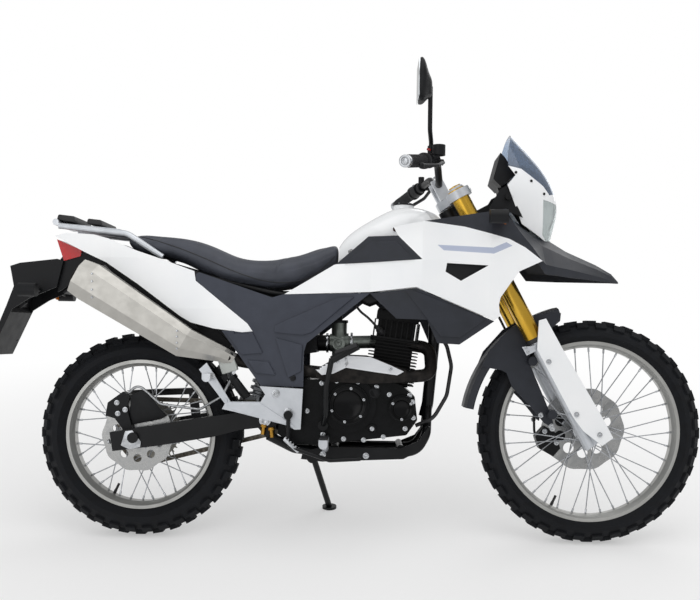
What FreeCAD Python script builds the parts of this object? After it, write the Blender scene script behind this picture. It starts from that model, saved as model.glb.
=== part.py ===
import FreeCAD
import Part
import math
import os

Vector = FreeCAD.Vector

# Dual sport motorcycle, leaning on its side stand.
# It is drawn upright: X forward from the rear axle, Y to the rider's left, Z up from the ground.

# Stance
wheelbase = 1387
rake = 28.7
lean = 10

# Clearances and seats
seat_gap = 0.3
overrun = 20
panel_wall = 4

# Front wheel
front_radius = 344
front_width = 92
front_lug_height = 9
front_rim_radius = 280
front_rim_width = 56
front_hub_radius = 24
front_flange_radius = 38
front_flange_y = 34
front_disc_radius = 133
front_disc_y = 58

# Rear wheel
rear_radius = 312
rear_width = 118
rear_lug_height = 10
rear_rim_radius = 230
rear_rim_width = 78
rear_hub_radius = 34
rear_flange_radius = 58
rear_flange_y = 40
rear_disc_radius = 110
rear_disc_y = -72

# Both wheels
lug_count = 36
centre_lug_width = 36
shoulder_lug_width = 22
shoulder_lug_turn = 44
lug_length_share = 0.56
rim_depth = 20
rim_wall = 5
rim_flange_height = 10
spoke_radius = 1.75
spoke_sets = 9
spoke_cross = 60
flange_wall = 8
spoke_stagger = 2.3
disc_wall = 4
disc_waves = 10
disc_wave_depth = 5
axle_radius = 8
axle_fit = 0.3

# Final drive
chain_y = 80
chain_pitch = 15.875
front_sprocket_teeth = 15
rear_sprocket_teeth = 40
sprocket_wall = 5
chain_plate_height = 14
chain_plate_wall = 1.6
chain_inner_width = 9
roller_radius = 5
output_shaft_x = 466
output_shaft_z = 368

# Steering head and fork, in the steering frame: forward of and along the steering axis
head_x = 959
head_z = 985
head_low = -52
head_high = 46
head_radius = 30
stem_radius = 16
stem_fit = 0.4
fork_offset = 38
fork_y = 97
fork_top = 80
fork_tube_radius = 27
fork_tube_low = -437
fork_leg_radius = 21
fork_leg_below_axle = 26
yoke_wall = 26
yoke_eye_wall = 11
top_yoke_low = 50
bottom_yoke_low = -86
steering_room_radius = 142
steering_lock = 38
fork_clearance = 6
bar_clamp_u = 6
bar_clamp_w = 124
bar_clamp_y = 42
bar_radius = 11
bar_space = (792, 1098, 101, 48, 398)
bar_bend_shares = ((1, 0.3467, 1), (0.792, 0.5477, 0.792), (0, 1, 0))
grip_radius = 16.5
reservoir_radius = 18.5
reservoir_height = 29
reservoir_ahead = 32

# Swingarm
pivot_x = 395
pivot_z = 372
arm_y_in = 95
arm_y_out = 125
pivot_radius = 24
pivot_bolt_radius = 8

# Main frame tubes
backbone_radius = 22
tube_radius = 14
rail_radius = 12
cradle_y = 72
cradle_z = 276
bracket_radius = 7

# Bodywork half widths at stations along the bike, as shares of the widest half width
bodywork_half_width = 212
bodywork_rear = -270
bodywork_length = 1490
bodywork_foot = 470
bodywork_height = 560
bodywork_station_shares = (0, 0.128, 0.268, 0.409, 0.530, 0.651, 0.752, 0.886, 1)
bodywork_row_shares = (0, 0.411, 0.679, 1)
bodywork_width_shares = (
    (0.38, 0.45, 0.46, 0.38),
    (0.47, 0.56, 0.55, 0.47),
    (0.56, 0.62, 0.60, 0.51),
    (0.66, 0.67, 0.62, 0.51),
    (0.73, 0.72, 0.67, 0.53),
    (0.78, 0.79, 0.78, 0.64),
    (0.81, 0.87, 0.97, 0.86),
    (0.80, 0.89, 1.00, 0.92),
    (0.71, 0.80, 0.90, 0.80),
)
lower_panel_step = 10

# Front bodywork outlines, as shares of this field
front_field = (440, 600, 760, 430)
knee_shares = ((0.207, 0.553), (0.332, 0.749), (0.446, 0.753), (0.539, 0.588))
shroud_shares = (
    (0.007, 0.342), (0.2, 0.549), (0.207, 0.553), (0.539, 0.588), (0.446, 0.753), (0.428, 0.814),
    (0.547, 0.851), (0.7, 0.814), (0.871, 0.737), (0.934, 0.681), (1.001, 0.593), (0.912, 0.519),
    (0.884, 0.451), (0.842, 0.34), (0.837, 0.291), (0.843, 0.214), (0.82, 0.184), (0.518, 0.402),
    (0.342, 0.365),
)
slot_shares = (
    (0.596, 0.688), (0.62, 0.651), (0.811, 0.633), (0.883, 0.691), (0.859, 0.714), (0.809, 0.674),
)
vent_shares = ((0.633, 0.565), (0.791, 0.553), (0.688, 0.447), (0.628, 0.507))
lower_shares = (
    (0.341, 0.356), (0.52, 0.395), (0.821, 0.179), (0.689, 0.016), (0.604, 0.023), (0.564, 0.181),
    (0.445, 0.186),
)
strip_shares = (
    (0.547, 0.851), (0.811, 0.926), (0.858, 0.945), (0.868, 0.893), (0.916, 0.781), (0.964, 0.681),
    (1.001, 0.593), (0.934, 0.681), (0.871, 0.737), (0.7, 0.814),
)

# Rear bodywork outlines, as shares of this field
rear_field = (-260, 470, 770, 450)
tail_shares = (
    (0.003, 0.987), (0.053, 1.007), (0.161, 0.998), (0.221, 0.971), (0.334, 0.893), (0.442, 0.833),
    (0.564, 0.76), (0.57, 0.696), (0.775, 0.418), (0.796, 0.367), (0.755, 0.36), (0.643, 0.382),
    (0.553, 0.42), (0.512, 0.46), (0.343, 0.669), (0.216, 0.811), (0.126, 0.88),
)
side_shares = (
    (0.57, 0.742), (0.583, 0.753), (0.869, 0.593), (0.914, 0.616), (1.247, 0.631), (1.006, 0.296),
    (0.996, 0.236), (0.996, 0.007), (0.831, 0.009), (0.675, 0.369), (0.796, 0.367), (0.775, 0.418),
    (0.57, 0.696),
)

# Tank: stations (x, half width, low, high)
tank_space = (604, 818, 321, 204, 142)
tank_shares = (
    (0, 0.648, 0.098, 0.4118), (0.1121, 0.789, 0.0588, 0.6176), (0.2991, 0.93, 0.0196, 0.8137),
    (0.5483, 1, 0, 1), (0.7664, 0.986, 0.0196, 1), (0.9221, 0.789, 0.1569, 0.9118),
    (1, 0.592, 0.3039, 0.7696),
)
tank_squareness = 3
cap_radius = 32
cap_height = 12
cap_x = 800
tank_top = 1024

# Seat: stations (x, half width, low, high)
seat_space = (-44, 770, 641, 158, 126)
seat_shares = (
    (0, 0.46, 0.823, 1), (0.1622, 0.762, 0.582, 0.949), (0.2995, 0.889, 0.418, 0.892),
    (0.4275, 0.968, 0.165, 0.734), (0.5367, 1, 0.051, 0.557), (0.6459, 0.952, 0, 0.513),
    (0.7878, 0.825, 0.038, 0.595), (0.9173, 0.698, 0.266, 0.797), (1, 0.587, 0.481, 0.892),
)
seat_squareness = 3.2

# Tail
carrier_radius = 9
carrier_y = 92
carrier_points_share = ((0.02, 1.055), (0.29, 1.01), (0.43, 0.857))
carrier_rear_x = -262
carrier_rear_z = 957
tail_lamp_shares = ((0.006, 0.967), (0.104, 0.898), (0.101, 0.856), (0.035, 0.822))
tail_lamp_half_width = 78

# Engine
case_half_width = 118
clutch_x = 640
clutch_z = 422
clutch_radius = 62
clutch_out_y = -152
oil_cover_x = 800
oil_cover_z = 413
oil_cover_radius = 40
oil_cover_out_y = -142
generator_x = 690
generator_z = 400
generator_radius = 78
generator_out_y = 146
case_field = (430, 300, 418, 200)
case_shares = (
    (0, 0.15), (0.0957, 0), (0.2703, 0), (0.4713, 0.04), (0.9234, 0.16), (1, 0.39), (0.9785, 0.745),
    (0.8852, 0.9), (0.756, 1), (0.4067, 1), (0.1675, 0.96), (0.0239, 0.7),
)
cylinder_x = 762
cylinder_z = 478
cylinder_tilt = 7
fin_length = 152
fin_width = 132
fin_wall = 3
fin_pitch = 10
fin_count = 14
fin_gap_width = 96
fin_gap_length = 116
head_height = 58
head_rib_wall = 4
head_rib_count = 9
head_cover_height = 36

# Exhaust
header_radius = 19
header_bend = 38
header_space = (276, 506, 614, 100, 142)
header_shares = (
    (0.8534, -0.169, 1), (0.9935, -0.352, 0.88), (1, -0.704, 0.08), (0.8534, -0.887, 0),
    (0.5277, -0.901, 0.06), (0.3322, -0.782, 0.16), (0.0619, -0.782, 0.4), (0, -1, 0.53),
)
shield_field = (541, 486, 270, 86)
shield_shares = (
    (0, 0.453), (0.2889, 1), (0.5667, 0.977), (1, 0.488), (0.9815, 0.07), (0.5889, 0), (0.1444, 0.047),
    (0.0148, 0.163),
)
shield_wall = 3
silencer_stations = (
    (298, -130, 548, 40, 40), (268, -142, 564, 46, 44), (158, -166, 598, 88, 80),
    (-120, -168, 770, 116, 96), (-158, -168, 790, 104, 88),
)
silencer_section_shares = (
    (-0.5, -0.22), (-0.5, 0.3), (-0.2, 0.5), (0.28, 0.5), (0.5, 0.24), (0.5, -0.24), (0.26, -0.5),
    (-0.26, -0.5),
)

# Front bodywork above the fork
nose_field = (1050, 815, 425, 445)
cowl_shares = (
    (0.139, 0.748), (0.233, 0.73), (0.32, 0.672), (0.4, 0.62), (0.45, 0.565), (0.56, 0.60), (0.56, 0.50),
    (0.40, 0.53), (0.407, 0.294), (0.445, 0.247), (0.247, 0.36), (0.134, 0.616), (0.191, 0.685),
)
lamp_shares = ((0.56, 0.50), (0.40, 0.53), (0.407, 0.294), (0.445, 0.247), (0.56, 0.24))
screen_shares = (
    (0.139, 0.748), (0.233, 0.73), (0.32, 0.672), (0.4, 0.62), (0.45, 0.565), (0.56, 0.60), (0.56, 0.75),
    (0.35, 0.9), (0.174, 0.995), (0.137, 0.84),
)
dash_shares = ((0.096, 0.854), (0.129, 0.822), (0.209, 0.706), (0.104, 0.62), (0.047, 0.674))
nose_plate_shares = (
    (0.1365, 0.618), (0.2494, 0.4), (0.1271, 0.4449), (0.0071, 0.4427), (0.0565, 0.5416), (0.0871, 0.591),
)
nose_plate_y = 103
dash_foot_shares = ((0.09, 0.64), (0.16, 0.67), (0.165, 0.535), (0.12, 0.53))
dash_half_width = 66
beak_space = (1098, 805, 376, 209, 180)
beak_shares = (
    (0, 0.989, 0.8086, 0.8565, 1), (0.0984, 1, 0.5789, 0.6459, 0.9043), (0.1995, 1, 0.3493, 0.4211, 0.799),
    (0.3112, 0.933, 0.067, 0.201, 0.689), (0.391, 0.844, 0.0574, 0.177, 0.6172),
    (0.5505, 0.622, 0.0383, 0.1483, 0.4545), (0.8059, 0.289, 0.0191, 0.0813, 0.2679),
    (0.9415, 0.111, 0.0096, 0.0335, 0.1388), (1, 0.028, 0, 0.0096, 0.0287),
)

# Front mudguard
mudguard_radius = 398
mudguard_half_width = 62
mudguard_wall = 4
mudguard_front_angle = 106
mudguard_rear_angle = 170
mudguard_field = (1046, 353, 239, 356)
mudguard_plate_shares = (
    (0.6695, 0.9803), (1, 1), (0.9916, 0.9298), (0.7782, 0.8062), (0.5858, 0.5983), (0.6946, 0.4298),
    (0.9038, 0.1096), (0.9456, 0), (0.8075, 0.0506), (0.5983, 0.2191), (0.3891, 0.3539), (0.318, 0.4747),
    (0.251, 0.4972), (0, 0.5253), (0.0753, 0.6517), (0.3305, 0.8483),
)
mudguard_bolt_shares = ((0.6276, 0.5815), (0.887, 0.132))
mudguard_bolt_radius = 14
disc_room = 9

# Mirror and its bosses
mirror_boss_radius = 10
mirror_hole_radius = 5
mirror_hole_depth = 18
mirror_boss_height = 35
mirror_stem_radius = 4.8
mirror_sleeve_radius = 6.5
mirror_nut_height = 7
mirror_y = -352
mirror_squareness = 3
mirror_stem_space = (856, 1212, 4, 106, 330)
mirror_stem_shares = ((1, -0.8364, 0), (0, -1, 1))
mirror_space = (823, 1268, 35, 116, 62)
mirror_shares = (
    (0, 0.968, 0, 1), (0.257, 1, 0, 1), (0.543, 0.871, 0.069, 0.81), (0.829, 0.645, 0.138, 0.586),
    (1, 0.355, 0.19, 0.431),
)

# Fork guards and front brake
guard_gap = 3
guard_field = (1201, 312, 232, 377)
guard_shares = (
    (0.0172, 0.9841), (0.1078, 1), (0.319, 0.7719), (0.8362, 0.244), (1, 0.0637), (0.8578, 0),
    (0.6121, 0.1141), (0.4741, 0.2255), (0, 0.7533),
)
guard_edge_shares = (
    (0.1078, 1), (0.319, 0.7719), (0.8362, 0.244), (1, 0.0637), (0.9741, 0.0531), (0.8103, 0.2334),
    (0.2931, 0.7639), (0.0819, 0.992),
)
guard_bolt_shares = ((0.1509, 0.6578), (0.5216, 0.244))
front_caliper_field = (1232, 256, 138, 144)
front_caliper_shares = (
    (0, 0.431), (0.217, 0.667), (0.493, 0.514), (0.58, 0.181), (0.42, 0), (0.101, 0.167),
)
front_caliper_bracket_shares = (
    (0.217, 0.667), (0.493, 0.514), (0.536, 0.236), (1, 0.514), (0.942, 0.861), (0.565, 1),
)
caliper_half = 20
caliper_room = 3

# Frame members
stay_length = 150
stay_half_width = 11
stay_height = 30
stay_low = -28
nose_bar_half = 118
nose_strut_y = 60
nose_strut_foot = (1180, 952)
frame_space = (-200, 274, 1108, 626, 134)
backbone_shares = ((0.9025, 0, 1), (0.722, 0, 0.8403), (0.5686, 0, 0.6805), (0.537, 0, 0.4569))
down_tube_shares = ((1, 0, 0.9681), (0.9946, 0, 0.5367), (0.9801, 0, 0.2332), (0.9711, 0, 0.1693))
cradle_shares = (
    (0.9801, 0, 0.2332), (0.9747, 0.448, 0.0895), (0.9477, 0.537, 0.0048), (0.6859, 0.537, 0),
    (0.6137, 0.746, 0.016), (0.546, 1, 0.0831),
)
seat_rail_shares = (
    (0.6498, 0.149, 0.7636), (0.5596, 0.612, 0.7572), (0.361, 0.627, 0.8403), (0.2347, 0.627, 0.901),
    (0, 0.493, 1),
)
lower_rail_shares = ((0.5415, 0.567, 0.2652), (0.4783, 0.567, 0.4569), (0.2347, 0.582, 0.8882))
pivot_plate_y = 134
pivot_plate_wall = 10
pivot_plate_field = (366, 318, 66, 254)
pivot_plate_shares = (
    (0.03, 0.1496), (0.515, 0), (0.879, 0.0315), (0.939, 0.3228), (0.879, 0.5197), (0.333, 0.5197),
    (0, 0.3228),
)
upper_plate_y = 84
upper_plate_shares = (
    (0.303, 0.4094), (0.909, 0.4094), (1, 0.7953), (0.697, 1), (0.182, 1), (0.091, 0.7953),
)
cross_tubes = ((470, 690, 8), (330, 700, 8), (-120, 880, 8), (640, 880, 8), (900, 780, 8), (925, 868, 8))
short_cross_tubes = (
    (408, 138, 436, 11), (395, 84, 560, 16), (420, 82, 748, 12), (-140, 70, 884, 12), (600, 84, 288, 11),
    (800, 84, 288, 11),
)

# Swingarm outline, shock and guards along it
arm_field = (-72, 270, 489, 124)
arm_shares = (
    (0, 0.452), (0.0204, 0), (0.1881, 0.089), (0.2945, 0.145), (0.6339, 0.387), (0.8016, 0.565),
    (0.955, 0.645), (1, 0.823), (0.955, 1), (0.7669, 0.968), (0.5562, 0.839), (0.409, 0.742),
    (0.2086, 0.597),
)
arm_cross_shares = ((0.8528, 0.613), (0.908, 0.645), (0.908, 0.984), (0.8528, 0.968))
shock_low = (352, 0, 400)
shock_high = (430, 0, 690)
shock_rod_radius = 7
shock_body_radius = 24
spring_radius = 36
spring_wire_radius = 6
spring_pitch = 22
shock_eye_radius = 13
shock_eye_half = 18
sprocket_room = 56
chain_guard_wall = 2
chain_guard_field = (-72, 358, 334, 94)
chain_guard_shares = (
    (0, 0.872), (0.2754, 0.936), (0.6347, 1), (0.994, 0.766), (1, 0.574), (0.6048, 0.766), (0.2754, 0.702),
    (0.006, 0.66),
)
chain_guard_lip_shares = (
    (0, 0.872), (0.2754, 0.936), (0.6347, 1), (0.994, 0.766), (0.994, 0.745), (0.6347, 0.979),
    (0.2754, 0.915), (0, 0.851),
)
chain_guard_tab_shares = ((0.5749, 0.819), (0.6647, 0.819), (0.6946, 0.043), (0.6048, 0))
rear_caliper_field = (-96, 318, 86, 128)
rear_caliper_shares = (
    (0, 0.422), (0.07, 0.734), (0.605, 1), (0.837, 0.922), (0.721, 0.516), (0.419, 0.344),
)
rear_caliper_bracket_shares = ((0.302, 0.422), (0.767, 0.641), (1, 0.094), (0.767, 0))

# Intake and tail pieces
airbox_field = (385, 560, 155, 160)
airbox_shares = ((0.355, 0), (1, 0.094), (1, 0.812), (0.548, 1), (0.097, 1), (0, 0.5))
airbox_half = 78
boot_start = (534, 0, 603)
boot_end = (580, 0, 604)
boot_radius = 25
carburettor_start = (578, 0, 605)
carburettor_end = (636, 0, 607)
carburettor_radius = 28
inlet_end = (740, 0, 611)
inlet_radius = 20
bowl_x = 606
bowl_heights = (566, 600)
bowl_radius = 22
slide_heights = (620, 668)
slide_radius = 24
tail_guard_field = (-460, 550, 520, 405)
carrier_deck_shares = ((0.3808, 0.9827), (0.7692, 0.9432), (0.7692, 0.958), (0.3808, 1))
tail_guard_upper_shares = (
    (0.4385, 0.7704), (0.8077, 0.7951), (1, 0.7407), (1, 0.721), (0.7692, 0.7704), (0.4038, 0.4815),
    (0.2308, 0.4148), (0.2077, 0.5185), (0.4038, 0.7111),
)
mudguard_tail_half = 74
tail_guard_flap_shares = (
    (0.1308, 0.6691), (0.1865, 0.6938), (0.4038, 0.7284), (0.4385, 0.7111), (0.4038, 0.5185),
    (0.2442, 0.4296), (0.1442, 0.3457), (0.0212, 0), (0, 0.0148), (0.1115, 0.3704), (0.1538, 0.5185),
)
plate_half = 88
upper_pocket_shares = (
    (0.4269, 0.7407), (0.7404, 0.7654), (0.75, 0.7358), (0.3808, 0.4568), (0.2115, 0.3827),
    (0.2192, 0.4988), (0.4, 0.6914),
)
flap_pocket_shares = (
    (0.1442, 0.6568), (0.1885, 0.6765), (0.4, 0.7111), (0.4231, 0.6988), (0.4, 0.4691), (0.2404, 0.3704),
    (0.1385, 0.321), (0.1212, 0.3704), (0.1654, 0.5185),
)
flap_edge_shares = ((0, 0.0148), (0.1115, 0.3704))
plate_hole_radius = 3.2
plate_hole_y = 70
plate_hole_z = 600
inner_guard_field = (-236, 559, 520, 285)
inner_guard_shares = (
    (0.0077, 0.6351), (0.2615, 0.9789), (0.5692, 0.9509), (0.8192, 0.5649), (0.9923, 0.1439), (1, 0.1579),
    (0.8308, 0.586), (0.5808, 0.9719), (0.2577, 1), (0, 0.6491),
)
inner_guard_side_shares = (
    (0.2519, 0.9825), (0.5808, 0.9719), (0.8308, 0.586), (1, 0.1579), (0.9673, 0), (0.7038, 0.3333),
    (0.4538, 0.7053),
)
inner_guard_half = 74
nose_back_x = 1080
nose_stations = (
    (915, 1256, 74), (974, 1268, 96), (1034, 1275, 106), (1088, 1262, 112), (1149, 1227, 106),
    (1201, 1180, 94), (1262, 1120, 70),
)
nose_squareness = 2.5

# Indicators
indicator_radius = 20
indicator_length = 52
rear_indicator_foot = (-300, -44, 752)
rear_indicator_head = (-306, -172, 746)
front_indicator_foot = (1062, -170, 975)
front_indicator_head = (1064, -246, 975)

# Plates and pegs
hanger_y = 166
hanger_wall = 8
hanger_spacer_radius = 12
hanger_field = (200, 348, 307, 192)
hanger_shares = (
    (0.5831, 0.656), (1, 0.625), (0.9837, 0.005), (0.9251, 0), (0.8664, 0.057), (0.342, 0.26),
    (0.228, 0.297), (0.2541, 0.38), (0, 0.896), (0.0717, 1), (0.3062, 0.411), (0.5961, 0.417),
    (0.6384, 0.531),
)
hanger_bolt_shares = ((0.684, 0.469), (0.658, 0.24))
skid_field = (400, 246, 489, 154)
skid_shares = (
    (0.2045, 0.045), (0.3354, 0), (0.8364, 0.078), (0.9407, 0.253), (1, 0.708), (0.9898, 0.721),
    (0.9243, 0.429), (0.818, 0.286), (0.3272, 0.286), (0.2147, 0.188),
)
skid_pocket_shares = (
    (0.184, 0.065), (0.3354, 0.026), (0.8323, 0.104), (0.9346, 0.273), (1, 0.87), (0, 1), (0.184, 0.351),
)
skid_half = 100
skid_wall = 3

rider_peg_x = 572
rider_peg_z = 312
rider_peg_in = 106
rider_peg_out = 232
rider_peg_radius = 13
peg_arm_shares = ((0.3605, 0.3495, 0.0357), (0.3605, 0.534, 0.0893), (0.3605, 0.6796, 0.1488))
rider_peg_arm_radius = 11
passenger_peg_x = 236
passenger_peg_z = 500
passenger_peg_length = 84
passenger_peg_radius = 12
control_space = (466, 262, 294, 336, 206)
brake_pedal_shares = (
    (0, -0.835, 0.3869), (0, -0.8447, 0.1131), (0.4218, -0.9126, 0), (0.7279, -0.9126, 0.0179),
)
gear_lever_shares = ((0.4558, 0.6408, 0.2321), (0.6599, 0.767, 0.1607), (1, 0.7864, 0.125))
gear_lever_toe = 50
lever_radius = 6
lever_hub_radius = 13
lever_hub_length = 22
kick_shares = (
    (0.3435, -0.6602, 0.2887), (0.3776, -0.9515, 0.4107), (0.3776, -0.9709, 0.6548),
    (0.4286, -0.9709, 0.8869),
)
kick_pedal_shares = ((0.4286, -0.9709, 0.875), (0.6871, -1, 1))
kick_radius = 8
kick_hub_radius = 15
oil_hose_points = (
    (846, -60, 356), (900, -66, 380), (940, -62, 450), (955, -40, 540), (938, -30, 612), (900, -24, 640),
)
oil_hose_radius = 6
brake_hose_radius = 4
brake_hose_bend = 26
front_brake_hose_places = (
    (34, -224, 170), (92, -120, 120), (96, 0, 20), (84, 96, -90), (6, 114, -240), (0, 114, -560),
    (-42, 112, -662), (-70, 102, -714), (-71, 79, -736),
)
rear_brake_hose_points = (
    (292, -148, 492), (262, -112, 440), (190, -86, 396), (70, -84, 410), (0, -84, 470), (-34, -76, 436),
)

# Stand
stand_eye_radius = 17
stand_eye_wall = 21
stand_ear_wall = 14
stand_pin_radius = 6
stand_pivot_x = 522
stand_pivot_z = 236
stand_pivot_y = 128
stand_foot_x = 575
stand_foot_y = 250
stand_axis_tilt = 20
stand_leg_radius = 10
stand_foot_radius = 24
stand_foot_height = 8


def across(outline, y_from, y_to):
    """A flat outline of (x, z) points, thick from y_from to y_to."""
    points = [Vector(x, y_from, z) for x, z in outline]
    face = Part.Face(Part.makePolygon(points + points[:1]))
    return face.extrude(Vector(0, y_to - y_from, 0))


def in_field(field, shares):
    """Points given as shares of a field (x, z, length, height)."""
    x, z, length, height = field
    return [(x + along * length, z + up * height) for along, up in shares]


def in_space(space, shares):
    """Places given as shares of a space (x, z, length, height, half width), each with one or more heights."""
    x, z, length, height, half_width = space
    return tuple(
        (x + along * length, out * half_width) + tuple(z + up * height for up in ups)
        for along, out, *ups in shares
    )


def rod(start, end, radius):
    """A straight round bar between two points."""
    first, last = Vector(*start), Vector(*end)
    return Part.makeCylinder(radius, (last - first).Length, first, last - first)


def six_sided_rod(start, end, radius):
    """A thin bar with six flats, for wire too fine to need more."""
    first, last = Vector(*start), Vector(*end)
    along = (last - first).normalize()
    aside = along.cross(Vector(0, 1, 0)).normalize()
    up = aside.cross(along)
    points = []
    for step in range(6):
        angle = math.pi * step / 3
        points.append(first + aside * (radius * math.cos(angle)) + up * (radius * math.sin(angle)))
    return Part.Face(Part.makePolygon(points + points[:1])).extrude(last - first)


def bent_tube(points, radius, bend):
    """A round tube along straight runs that tangent arcs of one bend radius join."""
    corners = [Vector(*point) for point in points]
    edges = []
    start = corners[0]
    for before, corner, after in zip(corners, corners[1:], corners[2:]):
        towards = (corner - before).normalize()
        away = (after - corner).normalize()
        half_turn = towards.getAngle(away) / 2
        room = min((corner - before).Length, (after - corner).Length) * 0.48
        setback = min(bend * math.tan(half_turn), room)
        arc_radius = setback / math.tan(half_turn)
        first, last = corner - towards * setback, corner + away * setback
        inward = (away - towards).normalize()
        middle = corner + inward * (arc_radius / math.cos(half_turn) - arc_radius)
        if (first - start).Length > radius / 100:
            edges.append(Part.LineSegment(start, first).toShape())
        edges.append(Part.Arc(first, middle, last).toShape())
        start = last
    edges.append(Part.LineSegment(start, corners[-1]).toShape())
    along = corners[1] - corners[0]
    profile = Part.Wire([Part.Circle(corners[0], along, radius).toShape()])
    return Part.Wire(edges).makePipeShell([profile], True, False)


def turned(profile, centre_x, centre_z, angle=360):
    """A ring about a wheel's axle from a closed profile of (y, radius) points."""
    points = [Vector(centre_x, y, centre_z + radius) for y, radius in profile]
    face = Part.Face(Part.makePolygon(points + points[:1]))
    return face.revolve(Vector(centre_x, 0, centre_z), Vector(0, 1, 0), angle)


def drum(centre_x, centre_z, radius, y_from, y_to):
    """A round disc or boss whose axis lies across the bike."""
    return Part.makeCylinder(radius, y_to - y_from, Vector(centre_x, y_from, centre_z), Vector(0, 1, 0))


def mirrored(shape):
    """The same piece on the other side of the bike."""
    return shape.mirror(Vector(0, 0, 0), Vector(0, 1, 0))


def both_sides(shape):
    return Part.makeCompound([shape, mirrored(shape)])


def joined(shapes):
    """Several overlapping solids fused to one."""
    return shapes[0].multiFuse(shapes[1:]).removeSplitter()


def largest(shape):
    """The one solid that a cut leaves of value, without the crumbs beyond it."""
    return max(shape.Solids, key=lambda solid: solid.Volume)


def round_section(x, half_width, low, high, squareness):
    """A closed smooth section across the bike, between a circle and a rectangle in form."""
    middle, half_height = (low + high) / 2, (high - low) / 2
    power = 2 / squareness
    points = []
    for step in range(16):
        angle = math.radians(22.5 * step)
        c, s = math.cos(angle), math.sin(angle)
        y = half_width * math.copysign(abs(c) ** power, c)
        z = middle + half_height * math.copysign(abs(s) ** power, s)
        points.append(Vector(x, y, z))
    curve = Part.BSplineCurve()
    curve.interpolate(points, PeriodicFlag=True)
    return Part.Wire([curve.toShape()])


def lofted_form(stations, squareness):
    sections = [round_section(x, width, low, high, squareness) for x, width, low, high in stations]
    return Part.makeLoft(sections, True, False)


def steering_point(u, y, w):
    """A place given forward of (u) and up along (w) the steering axis."""
    tilt = math.radians(rake)
    x = head_x + u * math.cos(tilt) - w * math.sin(tilt)
    z = head_z + u * math.sin(tilt) + w * math.cos(tilt)
    return (x, y, z)


def in_steering(x, z):
    """How far a place in the bike lies forward of and up along the steering axis."""
    tilt = math.radians(rake)
    u = (x - head_x) * math.cos(tilt) + (z - head_z) * math.sin(tilt)
    w = (z - head_z) * math.cos(tilt) - (x - head_x) * math.sin(tilt)
    return u, w


def raked(shape):
    """Carry a shape drawn about the steering axis, as Z, to its place."""
    placed = shape.copy()
    placed.rotate(Vector(0, 0, 0), Vector(0, 1, 0), -rake)
    placed.translate(Vector(head_x, 0, head_z))
    return placed


def bodywork_half(x, z):
    """Half width of the bodywork's outer surface at a place seen from the side."""
    along = (x - bodywork_rear) / bodywork_length
    up = (z - bodywork_foot) / bodywork_height
    along = min(max(along, 0), 1)
    up = min(max(up, 0), 1)
    i = max(k for k in range(len(bodywork_station_shares) - 1) if bodywork_station_shares[k] <= along)
    j = max(k for k in range(len(bodywork_row_shares) - 1) if bodywork_row_shares[k] <= up)
    a = (along - bodywork_station_shares[i]) / (bodywork_station_shares[i + 1] - bodywork_station_shares[i])
    b = (up - bodywork_row_shares[j]) / (bodywork_row_shares[j + 1] - bodywork_row_shares[j])
    low = bodywork_width_shares[i][j] * (1 - a) + bodywork_width_shares[i + 1][j] * a
    high = bodywork_width_shares[i][j + 1] * (1 - a) + bodywork_width_shares[i + 1][j + 1] * a
    return bodywork_half_width * (low * (1 - b) + high * b)


def bodywork_skin(step):
    """The right flank of the bodywork as one curved wall, step millimetres inside its outer surface."""
    wires = []
    for share, row in zip(bodywork_station_shares, bodywork_width_shares):
        x = bodywork_rear + share * bodywork_length
        outer = [
            Vector(x, step - width * bodywork_half_width, bodywork_foot + up * bodywork_height)
            for up, width in zip(bodywork_row_shares, row)
        ]
        inner = [point + Vector(0, panel_wall, 0) for point in reversed(outer)]
        points = outer + inner
        wires.append(Part.makePolygon(points + points[:1]))
    return Part.makeLoft(wires, True, True)


def panel(skin, field, shares):
    """One panel of the right flank, cut from the skin along its outline."""
    prism = across(in_field(field, shares), -bodywork_half_width - overrun, 0)
    return skin.common(prism)


nodes = {}


def tyre(centre_x, radius, width, lug_height, rim_radius):
    """Knobbly tyre: a casing that bulges past the rim, with lugs on its crown and on each shoulder."""
    base = radius - lug_height
    side = base - rim_radius
    half = width / 2
    outer_shares = ((0.60, 0), (0.98, 0.30), (0.94, 0.52), (0.62, 0.83), (0.22, 0.985))
    inner_shares = ((0.50, 0), (0.80, 0.30), (0.62, 0.66))
    wall = half * 0.16
    left = [(-half * out, rim_radius + seat_gap + side * up) for out, up in outer_shares]
    right = [(-y, r) for y, r in reversed(left)]
    inner_right = [(half * out, rim_radius + seat_gap + side * up) for out, up in inner_shares]
    inner_left = [(-y, r) for y, r in reversed(inner_right)]
    casing = turned(left + [(0, base)] + right + inner_right + inner_left, centre_x, radius)
    crown = half * 1.02
    pitch_angle = 360 / lug_count
    length = 2 * math.pi * radius / lug_count * lug_length_share
    lugs = []
    for row_turn, row_width, phase in (
        (0, centre_lug_width, 0), (1, shoulder_lug_width, 0.5), (-1, shoulder_lug_width, 0.5),
    ):
        depth = lug_height + wall / 2
        block = Part.makeBox(length, row_width, depth, Vector(-length / 2, -row_width / 2, crown - depth))
        block.rotate(Vector(0, 0, 0), Vector(1, 0, 0), shoulder_lug_turn * row_turn)
        block.translate(Vector(centre_x, 0, radius + radius - crown))
        for step in range(lug_count):
            lug = block.copy()
            lug.rotate(Vector(centre_x, 0, radius), Vector(0, 1, 0), pitch_angle * (step + phase) + 180)
            lugs.append(lug)
    return casing.multiFuse(lugs)


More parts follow.
